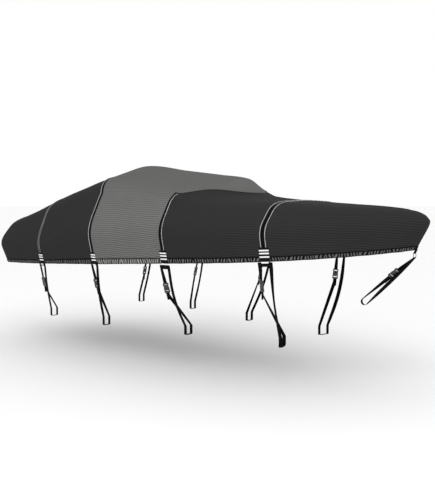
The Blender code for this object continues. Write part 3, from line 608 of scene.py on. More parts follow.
def webbingMaterial():
    rough = webbingLook["roughness"]
    made, tree, shader = newMaterial("blackWebbing", rough, Specular_IOR_Level=0.10)
    surface = mapOf(tree, "tapeMap")
    weave = groupNode(tree, tapeGroup, Surface=surface)
    colour = tapeColour(tree, weave, webbingLook["dark"], webbingLook["light"])
    thread = stitchMask(tree, attributeOf(tree, "edgeGap"), webbingLook["stitchRow"],
                        axesOf(tree, surface)["Y"])
    weaveBump = bumpNode(tree, weave["Height"], 0.5, 0.0005)
    feed(tree, shader, Normal=bumpNode(tree, thread, 0.6, 0.0008, weaveBump),
         Base_Color=mixColour(tree, times(tree, thread, 0.8), colour, tone(webbingLook["thread"])),
         Roughness=rangeNode(tree, weave["Tone"], 0.2, 0.8, rough - 0.08, rough + 0.08))
    return made


# greys of the three pipings, from 0 to 255
# the dark cord's grey, below the dark cloth's, is painted shade under the grey roof's edge
pipingLook = {"palePiping": 198.0, "greyPiping": 146.0, "cordShadePiping": 38.0, "roughness": 0.55,
              "braidPitch": 0.005, "braidLean": 1.6}


def pipingMaterial(name):
    # braided cover of a piping cord: threads with painted shade in the gaps, random grime, and
    # darker colour on upward faces
    level = pipingLook[name]
    made, tree, shader = newMaterial(name, pipingLook["roughness"], Specular_IOR_Level=0.4)
    around, along = axesOf(tree, mapOf(tree, "tapeMap"))[:2]
    lean = plus(tree, times(tree, around, pipingLook["braidLean"]), along)
    braid = waveOf(tree, lean, pipingLook["braidPitch"])
    # painted shade: the gaps between the braid's threads are darker
    colour = mixColour(tree, rangeNode(tree, braid, -1.0, 0.6, 0.0, 1.0), tone(level * 0.72),
                       tone(level))
    grime = noiseNode(tree, objectPlace(tree), 26.0, 3.0)
    flat = rangeNode(tree, upwardOf(tree, "True Normal"), 0.6, 0.95, 0.0, 0.6)
    # random grime, and colour darkened the more a face turns up
    grimeAndDarkTops = plus(tree, rangeNode(tree, grime, 0.45, 0.75, 0.0, 0.40), flat, clamp=True)
    feed(tree, shader, Base_Color=mixColour(tree, grimeAndDarkTops, colour, tone(level * 0.42, 0.02)),
         Normal=bumpNode(tree, braid, 0.4, 0.0005))
    return made


buckleLook = {"plastic": (0.024, 0.026, 0.036), "scuffed": (0.10, 0.105, 0.12), "wear": 0.30,
              "roughness": 0.36, "coat": 0.15, "coatRoughness": 0.3}
ringLook = {"coating": (0.010, 0.010, 0.012), "worn": (0.06, 0.06, 0.065), "roughness": 0.4}


def plasticMaterial():
    made, tree, shader = newMaterial("mouldedBuckle", buckleLook["roughness"],
                                     Specular_IOR_Level=0.5, Coat_Weight=buckleLook["coat"],
                                     Coat_Roughness=buckleLook["coatRoughness"])
    scuff = noiseNode(tree, objectPlace(tree), 55.0, 5.0, 0.7)
    wear = times(tree, rangeNode(tree, scuff, 0.52, 0.72, 0.0, 1.0), buckleLook["wear"])
    feed(tree, shader,
         Base_Color=mixColour(tree, wear, buckleLook["plastic"], buckleLook["scuffed"]),
         Roughness=rangeNode(tree, scuff, 0.3, 0.75, 0.30, 0.52),
         Normal=bumpNode(tree, noiseNode(tree, objectPlace(tree), 900.0, 2.0), 0.25, 0.0002))
    return made


def wireMaterial():
    made, tree, shader = newMaterial("coatedWire", ringLook["roughness"], Specular_IOR_Level=0.4)
    scuff = noiseNode(tree, objectPlace(tree), 180.0, 4.0, 0.65)
    wear = rangeNode(tree, scuff, 0.5, 0.72, 0.0, 1.0)
    feed(tree, shader, Normal=bumpNode(tree, scuff, 0.15, 0.0002),
         Base_Color=mixColour(tree, wear, ringLook["coating"], ringLook["worn"]),
         Roughness=rangeNode(tree, scuff, 0.3, 0.7, 0.32, 0.5))
    return made


# bands: the middle of each white band, down from the tab's top; the rows are of stitches
tabLook = {"bands": (0.029, 0.059, 0.095, 0.152), "bandHalf": 0.0076, "bandBlur": 0.0004,
           "black": (2.0, 10.0), "white": (236.0, 255.0), "thread": 40.0,
           "stitchRow": 0.0045, "crossRows": (0.006, 0.124)}


def stripedMaterial():
    made, tree, shader = newMaterial("stripedTab", 0.72, Specular_IOR_Level=0.12)
    weave = groupNode(tree, tapeGroup, Surface=mapOf(tree, "tapeMap"), Pitch=0.0024)
    down, edge = attributeOf(tree, "tabDown"), attributeOf(tree, "tabEdge")
    half, blur = tabLook["bandHalf"], tabLook["bandBlur"]
    mask = 0.0
    for middle in tabLook["bands"]:
        away = mathNode(tree, "ABSOLUTE", minus(tree, down, middle))
        mask = mathNode(tree, "MAXIMUM", mask,
                        rangeNode(tree, away, half - blur, half + blur, 1.0, 0.0))
    thread = stitchMask(tree, edge, tabLook["stitchRow"], down)
    for level in tabLook["crossRows"]:
        thread = mathNode(tree, "MAXIMUM", thread, stitchMask(tree, down, level, edge))
    banded = mixColour(tree, mask, tapeColour(tree, weave, *tabLook["black"]),
                       tapeColour(tree, weave, *tabLook["white"]))
    weaveBump = bumpNode(tree, weave["Height"], 0.45, 0.0005)
    feed(tree, shader, Normal=bumpNode(tree, thread, 0.6, 0.0008, weaveBump),
         Base_Color=mixColour(tree, times(tree, thread, 0.7), banded, tone(tabLook["thread"])),
         Roughness=rangeNode(tree, mask, 0.0, 1.0, 0.7, 0.5))
    return made


darkCloth = clothMaterial("darkPolyester")
greyCloth = clothMaterial("greyPolyester")
lining = liningMaterial()
webbing = webbingMaterial()
palePiping, dimPiping, cordShadePiping = (
    pipingMaterial(name) for name in ("palePiping", "greyPiping", "cordShadePiping"))
stripedTab = stripedMaterial()
buckle = plasticMaterial()
coatedWire = wireMaterial()
print("materials ready")


def linked(name, mesh):
    made = bpy.data.objects.new(name, mesh)
    bpy.context.collection.objects.link(made)
    return made


def meshFrom(bm, name):
    mesh = bpy.data.meshes.new(name)
    bm.to_mesh(mesh)
    bm.free()
    return mesh


def finishPiece(name, bm, surfaces, slot, node, smoothAngle=None):
    mesh = meshFrom(bm, name)
    for surface in surfaces:
        mesh.materials.append(surface)
    made = linked(name, mesh)
    mesh.shade_smooth()
    if smoothAngle is not None:
        mesh.set_sharp_from_angle(angle=math.radians(smoothAngle))
    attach(made, "root")
    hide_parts(node)
    return made


def gridCells(bm, columns, rows):
    # a grid whose vertices know their place in it: yields (vertex, column, row)
    made = bmesh.ops.create_grid(bm, x_segments=columns - 1, y_segments=rows - 1, size=1.0)
    for vertex in made["verts"]:
        column = round((vertex.co.x + 1.0) / 2.0 * (columns - 1))
        row = round((vertex.co.y + 1.0) / 2.0 * (rows - 1))
        yield vertex, column, row


def writeMap(faces, layer, place):
    for face in faces:
        for loop in face.loops:
            loop[layer].uv = place[loop.vert]


def thicken(made, name, thickness):
    solid = made.modifiers.new(name, "SOLIDIFY")
    solid.thickness = thickness
    solid.offset = -1.0
    return solid


# columnStep runs lengthways; the rows are heights, close together in the hem
clothCut = {
    "thickness": 0.0014,
    "columnStep": 0.026,
    "hemCuts": 5, "hemEdge": 0.008,  # cuts in each hem edge that is longer than hemEdge
    "hemRows": (0.0, 0.006, 0.018, 0.034, 0.050, 0.066, 0.082, 0.098, 0.114, 0.128, 0.140, 0.148,
                0.156, 0.170, 0.195),
    "skirtRows": 9, "wallRows": 22, "roofRows": 30,
    "seamGap": 0.00025,  # half the gap between two panels
    "ribReach": 0.9, "ribFloor": 0.25,  # how far up the cross ribs show, and the least they show
    "edgeShade": 0.022,  # height of the painted shadow line at the hem's edge
    "skirtLength": 0.38,  # metres in one step of height, for the hem's row of stitches
}
# line where the grey roof meets the dark front panel: how far back its front end lies, its bend and
# its points; the dark panel's rows above base are squeezed in under it
screenShape = {"back": 0.020, "curve": 1.18, "steps": 26, "base": 1.65}

hemTop = clothCut["hemRows"][-1]
seamGap = clothCut["seamGap"]
roofRows = divided(edgeAt, ridgeAt, clothCut["roofRows"])
fullRows = [
    *clothCut["hemRows"],
    *divided(hemTop, knuckleAt, clothCut["skirtRows"])[1:],
    *divided(knuckleAt, edgeAt, clothCut["wallRows"])[1:],
    *roofRows[1:],
]
screenFoot = station[ribNames.index("screenFoot")] - screenShape["back"]
screenTurns = divided(0.0, math.pi / 2, screenShape["steps"])


def acrossBoth(heights):
    # 0 to 3 up the starboard side, then 3 to 6 down the port side
    return list(heights) + [2.0 * ridgeAt - height for height in reversed(heights)][1:]


def panelBetween(start, end, bm=None):
    # vertices hold (along, crossing) until the panel is draped
    if bm is None:
        bm = bmesh.new()
    alongs, crossings = evenly(start, end, clothCut["columnStep"]), acrossBoth(fullRows)
    for vertex, column, row in gridCells(bm, len(alongs), len(crossings)):
        vertex.co = (alongs[column], crossings[row], 0.0)
    return bm


def refineHem(bm):
    chosen = []
    for edge in bm.edges:
        first, second = (vertex.co for vertex in edge.verts)
        low = min(first.y, 2.0 * ridgeAt - first.y)
        level = abs(first.y - second.y) < 1e-6
        if low < hemTop + 1e-4 and level and abs(first.x - second.x) > clothCut["hemEdge"]:
            chosen.append(edge)
    bmesh.ops.subdivide_edges(bm, edges=chosen, cuts=clothCut["hemCuts"], use_grid_fill=True)


def drape(bm, ribReach):
    # moves the flat plan onto the cover's shape and writes the cloth's own map and masks
    mapLayer = bm.loops.layers.uv.new("clothMap")
    layers = [bm.verts.layers.float.new(name) for name in ("paintedHemShading", "ribShow", "hemRow")]
    verts = list(bm.verts)
    plan = np.array([vertex.co for vertex in verts])
    along = np.clip(plan[:, 0], 0.0, bowEnd)
    height = np.minimum(plan[:, 1], 2.0 * ridgeAt - plan[:, 1])
    side = np.where(plan[:, 1] > ridgeAt + 1e-6, 1.0, -1.0)
    girth = girthAt(along, height)
    top = hemShape["top"]
    crest = np.where(height < top * 1.02, hemFolds(along, height, side)[1], 0.0)
    stitched = np.exp(-((height / top - 1.0) / hemShape["stitchReach"]) ** 2)
    edge = np.exp(-(height / clothCut["edgeShade"]) ** 2)
    # painted highlight on crests, painted shade in troughs, along the stitch line and at the very
    # edge
    shadow = np.tanh(2.2 * crest) * 0.9 * (1.0 - stitched) - 1.1 * stitched - 0.9 * edge
    ribShow = np.clip(1.15 - girth / ribReach, clothCut["ribFloor"], 1.0)
    hemRow = (height - top) * clothCut["skirtLength"]
    placed = coverPoint(along, height, side)
    place = {}
    for i, vertex in enumerate(verts):
        vertex.co = placed[i]
        place[vertex] = (along[i], girth[i])
        for layer, values in zip(layers, (np.clip(shadow, -1.0, 1.0), ribShow, hemRow)):
            vertex[layer] = values[i]
    writeMap(bm.faces, mapLayer, place)


def clothPanel(name, bm, surface, slot, node, ribReach=clothCut["ribReach"]):
    bmesh.ops.remove_doubles(bm, verts=bm.verts, dist=1e-6)
    refineHem(bm)
    drape(bm, ribReach)
    bmesh.ops.remove_doubles(bm, verts=bm.verts, dist=2e-5)
    bmesh.ops.recalc_face_normals(bm, faces=bm.faces)
    bm.normal_update()
    if max(bm.verts, key=lambda vertex: vertex.co.z).normal.z < 0.0:
        bmesh.ops.reverse_faces(bm, faces=bm.faces)
    made = finishPiece(name, bm, (surface, lining), slot, node)
    solid = thicken(made, "clothThickness", clothCut["thickness"])
    solid.material_offset = 1
    solid.material_offset_rim = 0
    print("cloth panel", name, len(made.data.polygons), "faces")


def screenEdge(angle, slack):
    # from the side edge at seam C to the ridge, over a quarter turn: along, and how far below it
    reach = screenFoot - seamAt["c"] + slack
    along = seamAt["c"] + reach * math.sin(angle) ** screenShape["curve"]
    return along, (1.0 + slack * 1.5) * max(math.cos(angle), 0.0) ** screenShape["curve"]


def crownCloth():
    bm = panelBetween(seamAt["b"] + seamGap, seamAt["c"] - seamGap)
    across = acrossBoth(roofRows)
    edges = [(seamAt["c"] - seamGap, 1.0)]
    edges += [screenEdge(turn, -2.0 * seamGap) for turn in screenTurns[1:]]
    for vertex, column, row in gridCells(bm, len(edges), len(across)):
        along, belowRidge = edges[column]
        vertex.co = (along, ridgeAt - (ridgeAt - across[row]) * belowRidge, 0.0)
    return bm


def foreCloth():
    bm = bmesh.new()
    base, slack = screenShape["base"], 2.0 * seamGap
    edges = [screenEdge(turn, slack) for turn in screenTurns]
    for flip in (False, True):
        for vertex, column, row in gridCells(bm, len(edges), len(fullRows)):
            along, belowRidge = edges[column]
            height = fullRows[row]
            if height > base:
                height = base + (height - base) / (ridgeAt - base) * (ridgeAt - belowRidge - base)
            crossing = 2.0 * ridgeAt - height if flip else height
            vertex.co = (max(along, seamAt["c"] + seamGap), crossing, 0.0)
    return panelBetween(edges[-1][0], seamAt["d"] - seamGap, bm)


clothPanel("sternSheet", panelBetween(0.0, seamAt["a"] - seamGap), darkCloth, "dark_polyester",
           "stern_panel")
clothPanel("aftSheet", panelBetween(seamAt["a"] + seamGap, seamAt["b"] - seamGap), darkCloth,
           "dark_polyester", "aft_panel")
clothPanel("crownSheet", crownCloth(), greyCloth, "grey_polyester", "crown_panel", 1.7)
clothPanel("foreSheet", foreCloth(), darkCloth, "dark_polyester", "fore_panel")
clothPanel("bowSheet", panelBetween(seamAt["d"] + seamGap, bowEnd), darkCloth, "dark_polyester",
           "bow_panel")


def sweep(bm, points, sideways, outwards, profile, scales=None, endless=False):
    # a closed profile of (across, out) carried along points; tapeMap is (around, along) in metres
    ring = len(profile)
    if endless:
        points, sideways, outwards = ([*row, row[0]] for row in (points, sideways, outwards))
    around = [0.0]
    for first, second in zip(profile, list(profile[1:]) + [profile[0]]):
        around.append(around[-1] + math.dist(first, second))
    length = lengthsAlong(points)
    mapLayer = bm.loops.layers.uv.new("tapeMap")
    place = {}
    for vertex, column, row in gridCells(bm, ring + 1, len(points)):
        across, out = profile[column % ring]
        scale = scales[row] if scales else 1.0
        vertex.co = points[row] + sideways[row] * across * scale + outwards[row] * out
        place[vertex] = (around[column], length[row])
    writeMap(bm.faces, mapLayer, place)
    bmesh.ops.remove_doubles(bm, verts=bm.verts, dist=1e-6)
    if not endless:
        rims = [edge for edge in bm.edges if edge.is_boundary]
        bmesh.ops.holes_fill(bm, edges=rims, sides=0)
    bmesh.ops.recalc_face_normals(bm, faces=bm.faces)


def tapeProfile(width, thickness, steps=4):
    # flat tape with rounded selvedges
    half, deep = width / 2, thickness / 2
    inner, side = half - deep * 0.6, deep * 0.35
    top = [(inner - (width - deep * 1.2) * i / steps, deep) for i in range(steps + 1)]
    under = [(-across, -out) for across, out in top]
    return [(half, side), *top, (-half, side), (-half, -side), *under, (half, -side)]


def runAt(points, i):
    return unit(points[min(i + 1, len(points) - 1)] - points[max(i - 1, 0)])


# knee: where the buckled leg bends, as y and z; turns are about the strap's own run, in degrees
seams = {
    "a": {"trim": 0.036, "tabWidth": 0.080, "tabDrop": 0.025, "footY": 0.835, "footDepth": 0.090,
          "buckleDrop": 0.190, "knee": (0.880, -1.610), "buckleTurn": 0.0, "sag": 0.012,
          "legTurn": 0.0, "piping": ("aft", "fore")},
    "b": {"trim": 0.044, "tabWidth": 0.078, "tabDrop": 0.012, "footY": 0.830, "footDepth": 0.090,
          "buckleDrop": 0.203, "knee": (0.868, -1.520), "buckleTurn": -18.0, "sag": 0.018,
          "legTurn": -12.0, "piping": ("aft",)},
    "c": {"trim": 0.050, "tabWidth": 0.094, "tabDrop": 0.060, "footY": 0.620, "footDepth": 0.100,
          "buckleDrop": 0.195, "knee": (0.828, -1.506), "buckleTurn": -28.0, "sag": 0.047,
          "legTurn": 0.0, "piping": ()},
    "d": {"trim": 0.062, "tabWidth": 0.104, "tabDrop": 0.048, "footY": 0.470, "footDepth": 0.125,
          "buckleDrop": 0.165, "knee": (0.708, -1.400), "buckleTurn": 42.0, "sag": 0.050,
          "legTurn": 42.0, "piping": ("aft", "fore")},
}
trimShape = {
    "lift": 0.0006, "thickness": 0.0016, "wall": 0.0014,
    # places across, as shares of the width, and how far each lies lower
    "across": (-0.5, -0.44, -0.15, 0.15, 0.44, 0.5), "fallen": (0.0005, 0.0, 0.0, 0.0, 0.0, 0.0005),
    "tabRise": 0.148, "tabGap": 0.01,
    "skirtStep": 0.04, "wallStep": 0.035, "roofStep": 0.04,
}
pipingShape = {"width": 0.008, "height": 0.0046, "inset": 0.005, "screenLift": 0.0004,
               "section": ((1.0, 0.0), (0.98, 0.35), (0.78, 0.74), (0.38, 0.97)),
               # the piping at seam C turns forward under the roof's corner: ahead and height
               "cornerFrom": 1.90, "cornerTurn": ((0.004, 1.925), (0.012, 1.945), (0.028, 1.962)),
               # the dark cord: how far it lies outside and below the roof's edge, and its start
               "cordSlack": 0.008, "cordBelow": 0.02, "cordStart": 9.5, "cordSteps": 30}


def climb(seam, top):
    # heights from just above the tab to top, closer together where the cloth turns
    rib = ribAt(np.array([seamAt[seam]]))[0]
    low = trimShape["tabRise"] / float(np.linalg.norm(rib[1] - rib[0])) + trimShape["tabGap"]
    skirt = evenly(low, knuckleAt, trimShape["skirtStep"])[:-1]
    if top <= edgeAt:
        return skirt + evenly(knuckleAt, top, trimShape["wallStep"])
    wall = evenly(knuckleAt, edgeAt, trimShape["wallStep"])[:-1]
    return skirt + wall + evenly(edgeAt, top, trimShape["roofStep"])


def thereAndBack(values):
    # up the starboard side and down the port side, with the ridge once
    return np.array(list(values) + list(reversed(values))[1:])


def sidesOf(count):
    return np.array([-1.0] * count + [1.0] * (count - 1))


def overRidge(seam):
    up = climb(seam, ridgeAt)
    return thereAndBack(up), sidesOf(len(up))


def seamTape(name, seam, heights, sides, node):
    bm = bmesh.new()
    width, across = seams[seam]["trim"], trimShape["across"]
    at = np.full(len(heights), seamAt[seam])
    mapLayer = bm.loops.layers.uv.new("tapeMap")
    gapLayer = bm.verts.layers.float.new("edgeGap")
    top = trimShape["lift"] + trimShape["thickness"]
    lines = [coverPoint(at + share * width, heights, sides, top - down)
             for share, down in zip(across, trimShape["fallen"])]
    length = lengthsAlong(lines[len(lines) // 2])
    place = {}
    for vertex, column, row in gridCells(bm, len(across), len(heights)):
        vertex.co = lines[column][row]
        vertex[gapLayer] = (0.5 - abs(across[column])) * width
        place[vertex] = (across[column] * width, length[row])
    writeMap(bm.faces, mapLayer, place)
    bm.normal_update()
    if max(bm.faces, key=lambda face: face.calc_center_median().z).normal.z < 0.0:
        bmesh.ops.reverse_faces(bm, faces=bm.faces)
    made = finishPiece(name, bm, (webbing,), "black_webbing", node)
    thicken(made, "tapeThickness", trimShape["wall"])


def layPiping(name, along, heights, sides, lift, surface, slot, node):
    points, normals = coverPoint(along, heights, sides, lift), outward(along, heights, sides)
    half, tall = pipingShape["width"] / 2, pipingShape["height"]
    right = [(half * out, tall * up) for out, up in pipingShape["section"]]
    profile = right + [(-across, up) for across, up in reversed(right)]
    sideways, outwards = [], []
    for i, normal in enumerate(normals):
        run = runAt(points, i)
        across = unit(np.cross(run, normal))
        out = unit(np.cross(across, run))
        outwards.append(out if out @ normal > 0.0 else -out)
        sideways.append(across)
    bm = bmesh.new()
    sweep(bm, points, sideways, outwards, profile)
    finishPiece(name, bm, (surface,), slot, node, 40)


def pipingLine(seam, way):
    return seamAt[seam] + way * (seams[seam]["trim"] / 2 - pipingShape["inset"])


def screenPiping(word, side):
    # pale piping beside seam C, up to the corner of the grey roof
    heights = climb("c", pipingShape["cornerFrom"])
    along = [pipingLine("c", 1.0)] * len(heights)
    for ahead, height in pipingShape["cornerTurn"]:
        along.append(along[0] + ahead)
        heights.append(height)
    layPiping("piping_c_" + word + "_cord", np.array(along), np.array(heights),
              np.full(len(along), side), pipingShape["screenLift"], palePiping, "pale_piping",
              "piping_c_" + word)


def screenCord():
    # dark cord under the edge of the grey roof, over the ridge to the other side
    # the cord's tone, darker than the cloth, is painted shade along the grey roof's edge
    start, below = math.radians(pipingShape["cordStart"]), pipingShape["cordBelow"]
    turns = [turn for turn in divided(0.0, math.pi / 2, pipingShape["cordSteps"]) if turn > start]
    turns = [start] + turns
    edges = [screenEdge(turn, pipingShape["cordSlack"]) for turn in turns]
    heights = [ridgeAt - edge[1] - below * math.cos(turn) for edge, turn in zip(edges, turns)]
    layPiping("screenCord", thereAndBack([edge[0] for edge in edges]),
              np.clip(thereAndBack(heights), 0.0, ridgeAt), sidesOf(len(turns)),
              pipingShape["screenLift"], cordShadePiping, "dark_polyester", "screen_cord")


for letter in "abd":
    seamTape("seamTape_" + letter, letter, *overRidge(letter), "trim_" + letter)
for word, side in bothSides:
    heights = np.array(climb("c", edgeAt))
    seamTape("seamTape_c_" + word, "c", heights, np.full(len(heights), side), "trim_c_" + word)
for letter, shape in seams.items():
    for where in shape["piping"]:
        surface, slot = (dimPiping, "grey_piping") if letter == "a" else (palePiping, "pale_piping")
        name = "piping_" + letter + "_" + where
        heights, sides = overRidge(letter)
        along = np.full(len(heights), pipingLine(letter, 1.0 if where == "fore" else -1.0))
        layPiping(name + "_cord", along, heights, sides, trimShape["lift"] + trimShape["thickness"],
                  surface, slot, name)
for word, side in bothSides:
    screenPiping(word, side)
screenCord()
print("seam tapes and piping laid")


tabShape = {"rise": trimShape["tabRise"], "inset": 0.015, "depth": 0.0085, "lift": 0.0022,
            "layer": 0.0017, "gap": 0.0001, "sleeveHeight": 0.052, "rowStep": 0.016}
bowTab = {"width": 0.036, "rise": 0.045, "drop": 0.034, "inset": 0.0, "depth": 0.0115}


def hemFrame(along, side):
    # on the bare hem: origin, ahead, out and up the skirt
    origin = barePoint(along, 0.0, side)[0]
    up = unit(barePoint(along, 0.6, side)[0] - origin)
    out = outward(np.array([along]), np.array([0.3]), np.array([side]))[0]
    out = unit(out - up * (out @ up))
    ahead = unit(np.cross(up, out) * -side)
    return origin, ahead, out, up


def tabPiece(name, hem, width, rise, drop, inset, depth, node, surface):
    # one band folded round the strap: front layer down, round the sleeve, back layer up
    origin, ahead, out, up = hem
    lift, layer, step = tabShape["lift"], tabShape["layer"], tabShape["rowStep"]
    backAt = lift + layer / 2
    frontAt = lift + layer * 1.5 + tabShape["gap"]
    faceAt = lift + depth - layer / 2
    low, top = -drop, -drop + tabShape["sleeveHeight"]
    line = [(frontAt, height) for height in evenly(rise, top + 0.004, step)]
    line += [(frontAt + 0.0006, top + 0.001), (frontAt + 0.0022, top - 0.002),
             (faceAt - 0.0008, top - 0.006), (faceAt, top - 0.010), (faceAt, low + 0.020),
             (faceAt, low + 0.0065)]
    middle, radius = (faceAt + backAt) / 2, (faceAt - backAt) / 2
    for angle in divided(0.0, math.pi, 6)[1:-1]:
        height = low + layer / 2 + radius * (1.0 - math.sin(angle))
        line.append((middle + radius * math.cos(angle), height))
    line += [(backAt, low + 0.0065), (backAt, low + 0.020)]
    line += [(backAt, height) for height in evenly(top - 0.010, rise, step)]
    points, scales = [], []
    narrow = width - 2.0 * inset
    for off, height in line:
        points.append(origin + out * off + up * height)
        share = min(max((height - top + 0.004) / 0.008, 0.0), 1.0)
        wide = width * (1.0 if height < rise - 0.003 else 0.985) * 0.985
        scales.append((narrow + (wide - narrow) * share) / width)
    outwards = [unit(np.cross(runAt(points, i), ahead)) for i in range(len(points))]
    bm = bmesh.new()
    downLayer = bm.verts.layers.float.new("tabDown")
    edgeLayer = bm.verts.layers.float.new("tabEdge")
    sweep(bm, points, [ahead] * len(points), outwards, tapeProfile(width, layer, 6), scales)
    for vertex in bm.verts:
        offset = np.array(vertex.co) - origin
        vertex[downLayer] = rise - float(offset @ up)
        vertex[edgeLayer] = width / 2 - abs(float(offset @ ahead))
    finishPiece(name, bm, (surface,), "tab_webbing", node, 50)


for letter, shape in seams.items():
    for word, side in bothSides:
        label = letter + "_" + word
        tabPiece("stripedTab_" + label, hemFrame(seamAt[letter], side), shape["tabWidth"],
                 tabShape["rise"], shape["tabDrop"], tabShape["inset"], tabShape["depth"],
                 "tab_" + label, stripedTab)
tabPiece("blackTab_bow", hemFrame(bowEnd, -1.0), *bowTab.values(), "bow_tab", webbing)
print("tabs sewn on")


buckleShape = {"width": 0.062, "thickness": 0.017, "socketLength": 0.072, "plugLength": 0.044,
               "gap": 0.001, "pocket": 0.010, "round": 0.0016}
buckleHalf = buckleShape["width"] / 2


def roundEdges(bm, edges, roundness, segments):
    bmesh.ops.bevel(bm, geom=edges, offset=roundness, affect="EDGES", segments=segments,
                    profile=0.5, material=-1)


def outlineBlock(bm, outline, low, high, roundness, segments=3):
    # a plate with this outline between two depths, all its edges rounded
    verts = [bm.verts.new((x, y, low)) for x, y in outline]
    face = bmesh.ops.contextual_create(bm, geom=verts)["faces"][0]
    grown = bmesh.ops.extrude_face_region(bm, geom=[face])["geom"]
    lifted = [item for item in grown if isinstance(item, bmesh.types.BMVert)]
    bmesh.ops.translate(bm, verts=lifted, vec=(0.0, 0.0, high - low))
    made = {*verts, *lifted}
    edges = [edge for edge in bm.edges if made.issuperset(edge.verts)]
    roundEdges(bm, edges, roundness, segments)


def blockAt(bm, low, high, roundness=0.0):
    low, high = Vector(low), Vector(high)
    made = bmesh.ops.create_cube(bm, size=1.0)["verts"]
    bmesh.ops.scale(bm, verts=made, vec=high - low)
    bmesh.ops.translate(bm, verts=made, vec=(high + low) / 2)
    if roundness:
        edges = list(dict.fromkeys(edge for vertex in made for edge in vertex.link_edges))
        roundEdges(bm, edges, roundness, 2)


def carve(name, bm, cutters):
    # takes each block, given by two corners, out of the shape
    bmesh.ops.recalc_face_normals(bm, faces=bm.faces)
    body = linked(name, meshFrom(bm, name))
    helpers = []
    for low, high in cutters:
        cutter = bmesh.new()
        blockAt(cutter, low, high)
        helpers.append(linked(name + "Cutter", meshFrom(cutter, name + "Cutter")))
        modifier = body.modifiers.new("cut", "BOOLEAN")
        modifier.operation = "DIFFERENCE"
        modifier.solver = "EXACT"
        modifier.object = helpers[-1]
    depsgraph = bpy.context.evaluated_depsgraph_get()
    carved = bpy.data.meshes.new_from_object(body.evaluated_get(depsgraph))
    for used in helpers + [body]:
        bpy.data.objects.remove(used, do_unlink=True)
    bm = bmesh.new()
    bm.from_mesh(carved)
    bpy.data.meshes.remove(carved)
    return bm


def mirroredOutline(right):
    return list(right) + [(-x, y) for x, y in reversed(right)]


def socketTemplate():
    # x across, y down the strap, z out: female half with side windows, mouth and raised pads
    half, deep, end = buckleHalf, buckleShape["thickness"] / 2, buckleShape["socketLength"]
    right = [(half - 0.006, 0.0), (half - 0.001, 0.0045), (half, 0.011), (half, 0.028),
             (half - 0.004, 0.035), (half - 0.005, 0.0445), (half - 0.004, 0.054),
             (half, 0.0605), (half, end - 0.004), (half - 0.003, end)]
    bm = bmesh.new()
    outlineBlock(bm, mirroredOutline(right), -deep, deep, buckleShape["round"])
    bm = carve("socketTemplate", bm, (
        ((-0.0238, 0.027, -0.0048), (0.0238, end + 0.001, 0.0048)),
        ((-half - 0.001, 0.0355, -0.0046), (half + 0.001, 0.0540, 0.0046)),
        ((-0.0212, -0.001, -0.0025), (0.0212, buckleShape["pocket"] + 0.003, 0.0025)),
        ((-0.0205, 0.0150, -deep - 0.001), (0.0205, 0.0250, deep + 0.001))))
    pad = mirroredOutline(
        [(0.0165, 0.0300), (0.0185, 0.0345), (0.0185, 0.0535), (0.0165, 0.0580)])
    outlineBlock(bm, pad, deep - 0.0010, deep + 0.0009, 0.0006, 2)
    outlineBlock(bm, pad, -deep - 0.0007, -deep + 0.0010, 0.0005, 2)
    for grip in (0.0625, 0.0651, 0.0677):
        blockAt(bm, (-0.0200, grip, deep - 0.0008), (0.0200, grip + 0.0012, deep + 0.0006), 0.0003)
    return bm


def plugTemplate():
    # base with webbing bars, two sprung arms with thumb pads for the windows, and a tongue
    half, length = buckleHalf, buckleShape["plugLength"]
    bm = bmesh.new()
    base = [(half - 0.004, 0.0), (half, 0.004), (half, length - 0.006), (half - 0.005, length)]
    outlineBlock(bm, mirroredOutline(base), -0.0074, 0.0074, buckleShape["round"])
    pocket = length - buckleShape["pocket"] - 0.004
    bm = carve("plugTemplate", bm, (
        ((-0.0212, pocket, -0.0032), (0.0212, length + 0.001, 0.0032)),
        ((-0.0205, 0.0130, -0.010), (0.0205, 0.0235, 0.010))))
    arm = [(0.0150, 0.0010), (0.0150, -0.0360), (0.0212, -0.0360), (0.0289, -0.0304),
           (0.0293, -0.0260), (0.0287, -0.0210), (0.0230, -0.0186), (0.0230, 0.0010)]
    outlineBlock(bm, [(-x, y) for x, y in arm[::-1]], -0.0042, 0.0042, 0.0010, 2)
    outlineBlock(bm, arm, -0.0042, 0.0042, 0.0010, 2)
    tongue = [(0.0055, 0.0005), (-0.0055, 0.0005), (-0.0046, -0.0405), (0.0046, -0.0405)]
    outlineBlock(bm, tongue, -0.0028, 0.0028, 0.0008, 2)
    for grip in (0.0022, 0.0046, 0.0070, 0.0094):
        blockAt(bm, (-half + 0.005, grip, 0.0068), (half - 0.005, grip + 0.0011, 0.0080), 0.0003)
    return bm


def keepTemplate(bm, name):
    bmesh.ops.recalc_face_normals(bm, faces=bm.faces)
    return meshFrom(bm, name)


socketMesh = keepTemplate(socketTemplate(), "socketTemplate")
plugMesh = keepTemplate(plugTemplate(), "plugTemplate")


def placeBuckle(name, template, origin, across, run, out, node):
    bm = bmesh.new()
    bm.from_mesh(template)
    turn = Matrix(np.vstack((np.column_stack((across, run, out, origin)), (0.0, 0.0, 0.0, 1.0))))
    bmesh.ops.transform(bm, matrix=turn, verts=bm.verts)
    bmesh.ops.recalc_face_normals(bm, faces=bm.faces)
    finishPiece(name, bm, (buckle,), "buckle_plastic", node, 32)


def buckleOn(label, start, run, across):
    # start is where the strap enters the socket, run points down the strap
    out = unit(np.cross(across, run))
    placeBuckle("buckleSocket_" + label, socketMesh, start, across, run, out, "socket_" + label)
    plugAt = start + run * (buckleShape["socketLength"] + buckleShape["gap"])
    placeBuckle("bucklePlug_" + label, plugMesh, plugAt, across, run, out, "plug_" + label)
    return plugAt + run * buckleShape["plugLength"], out


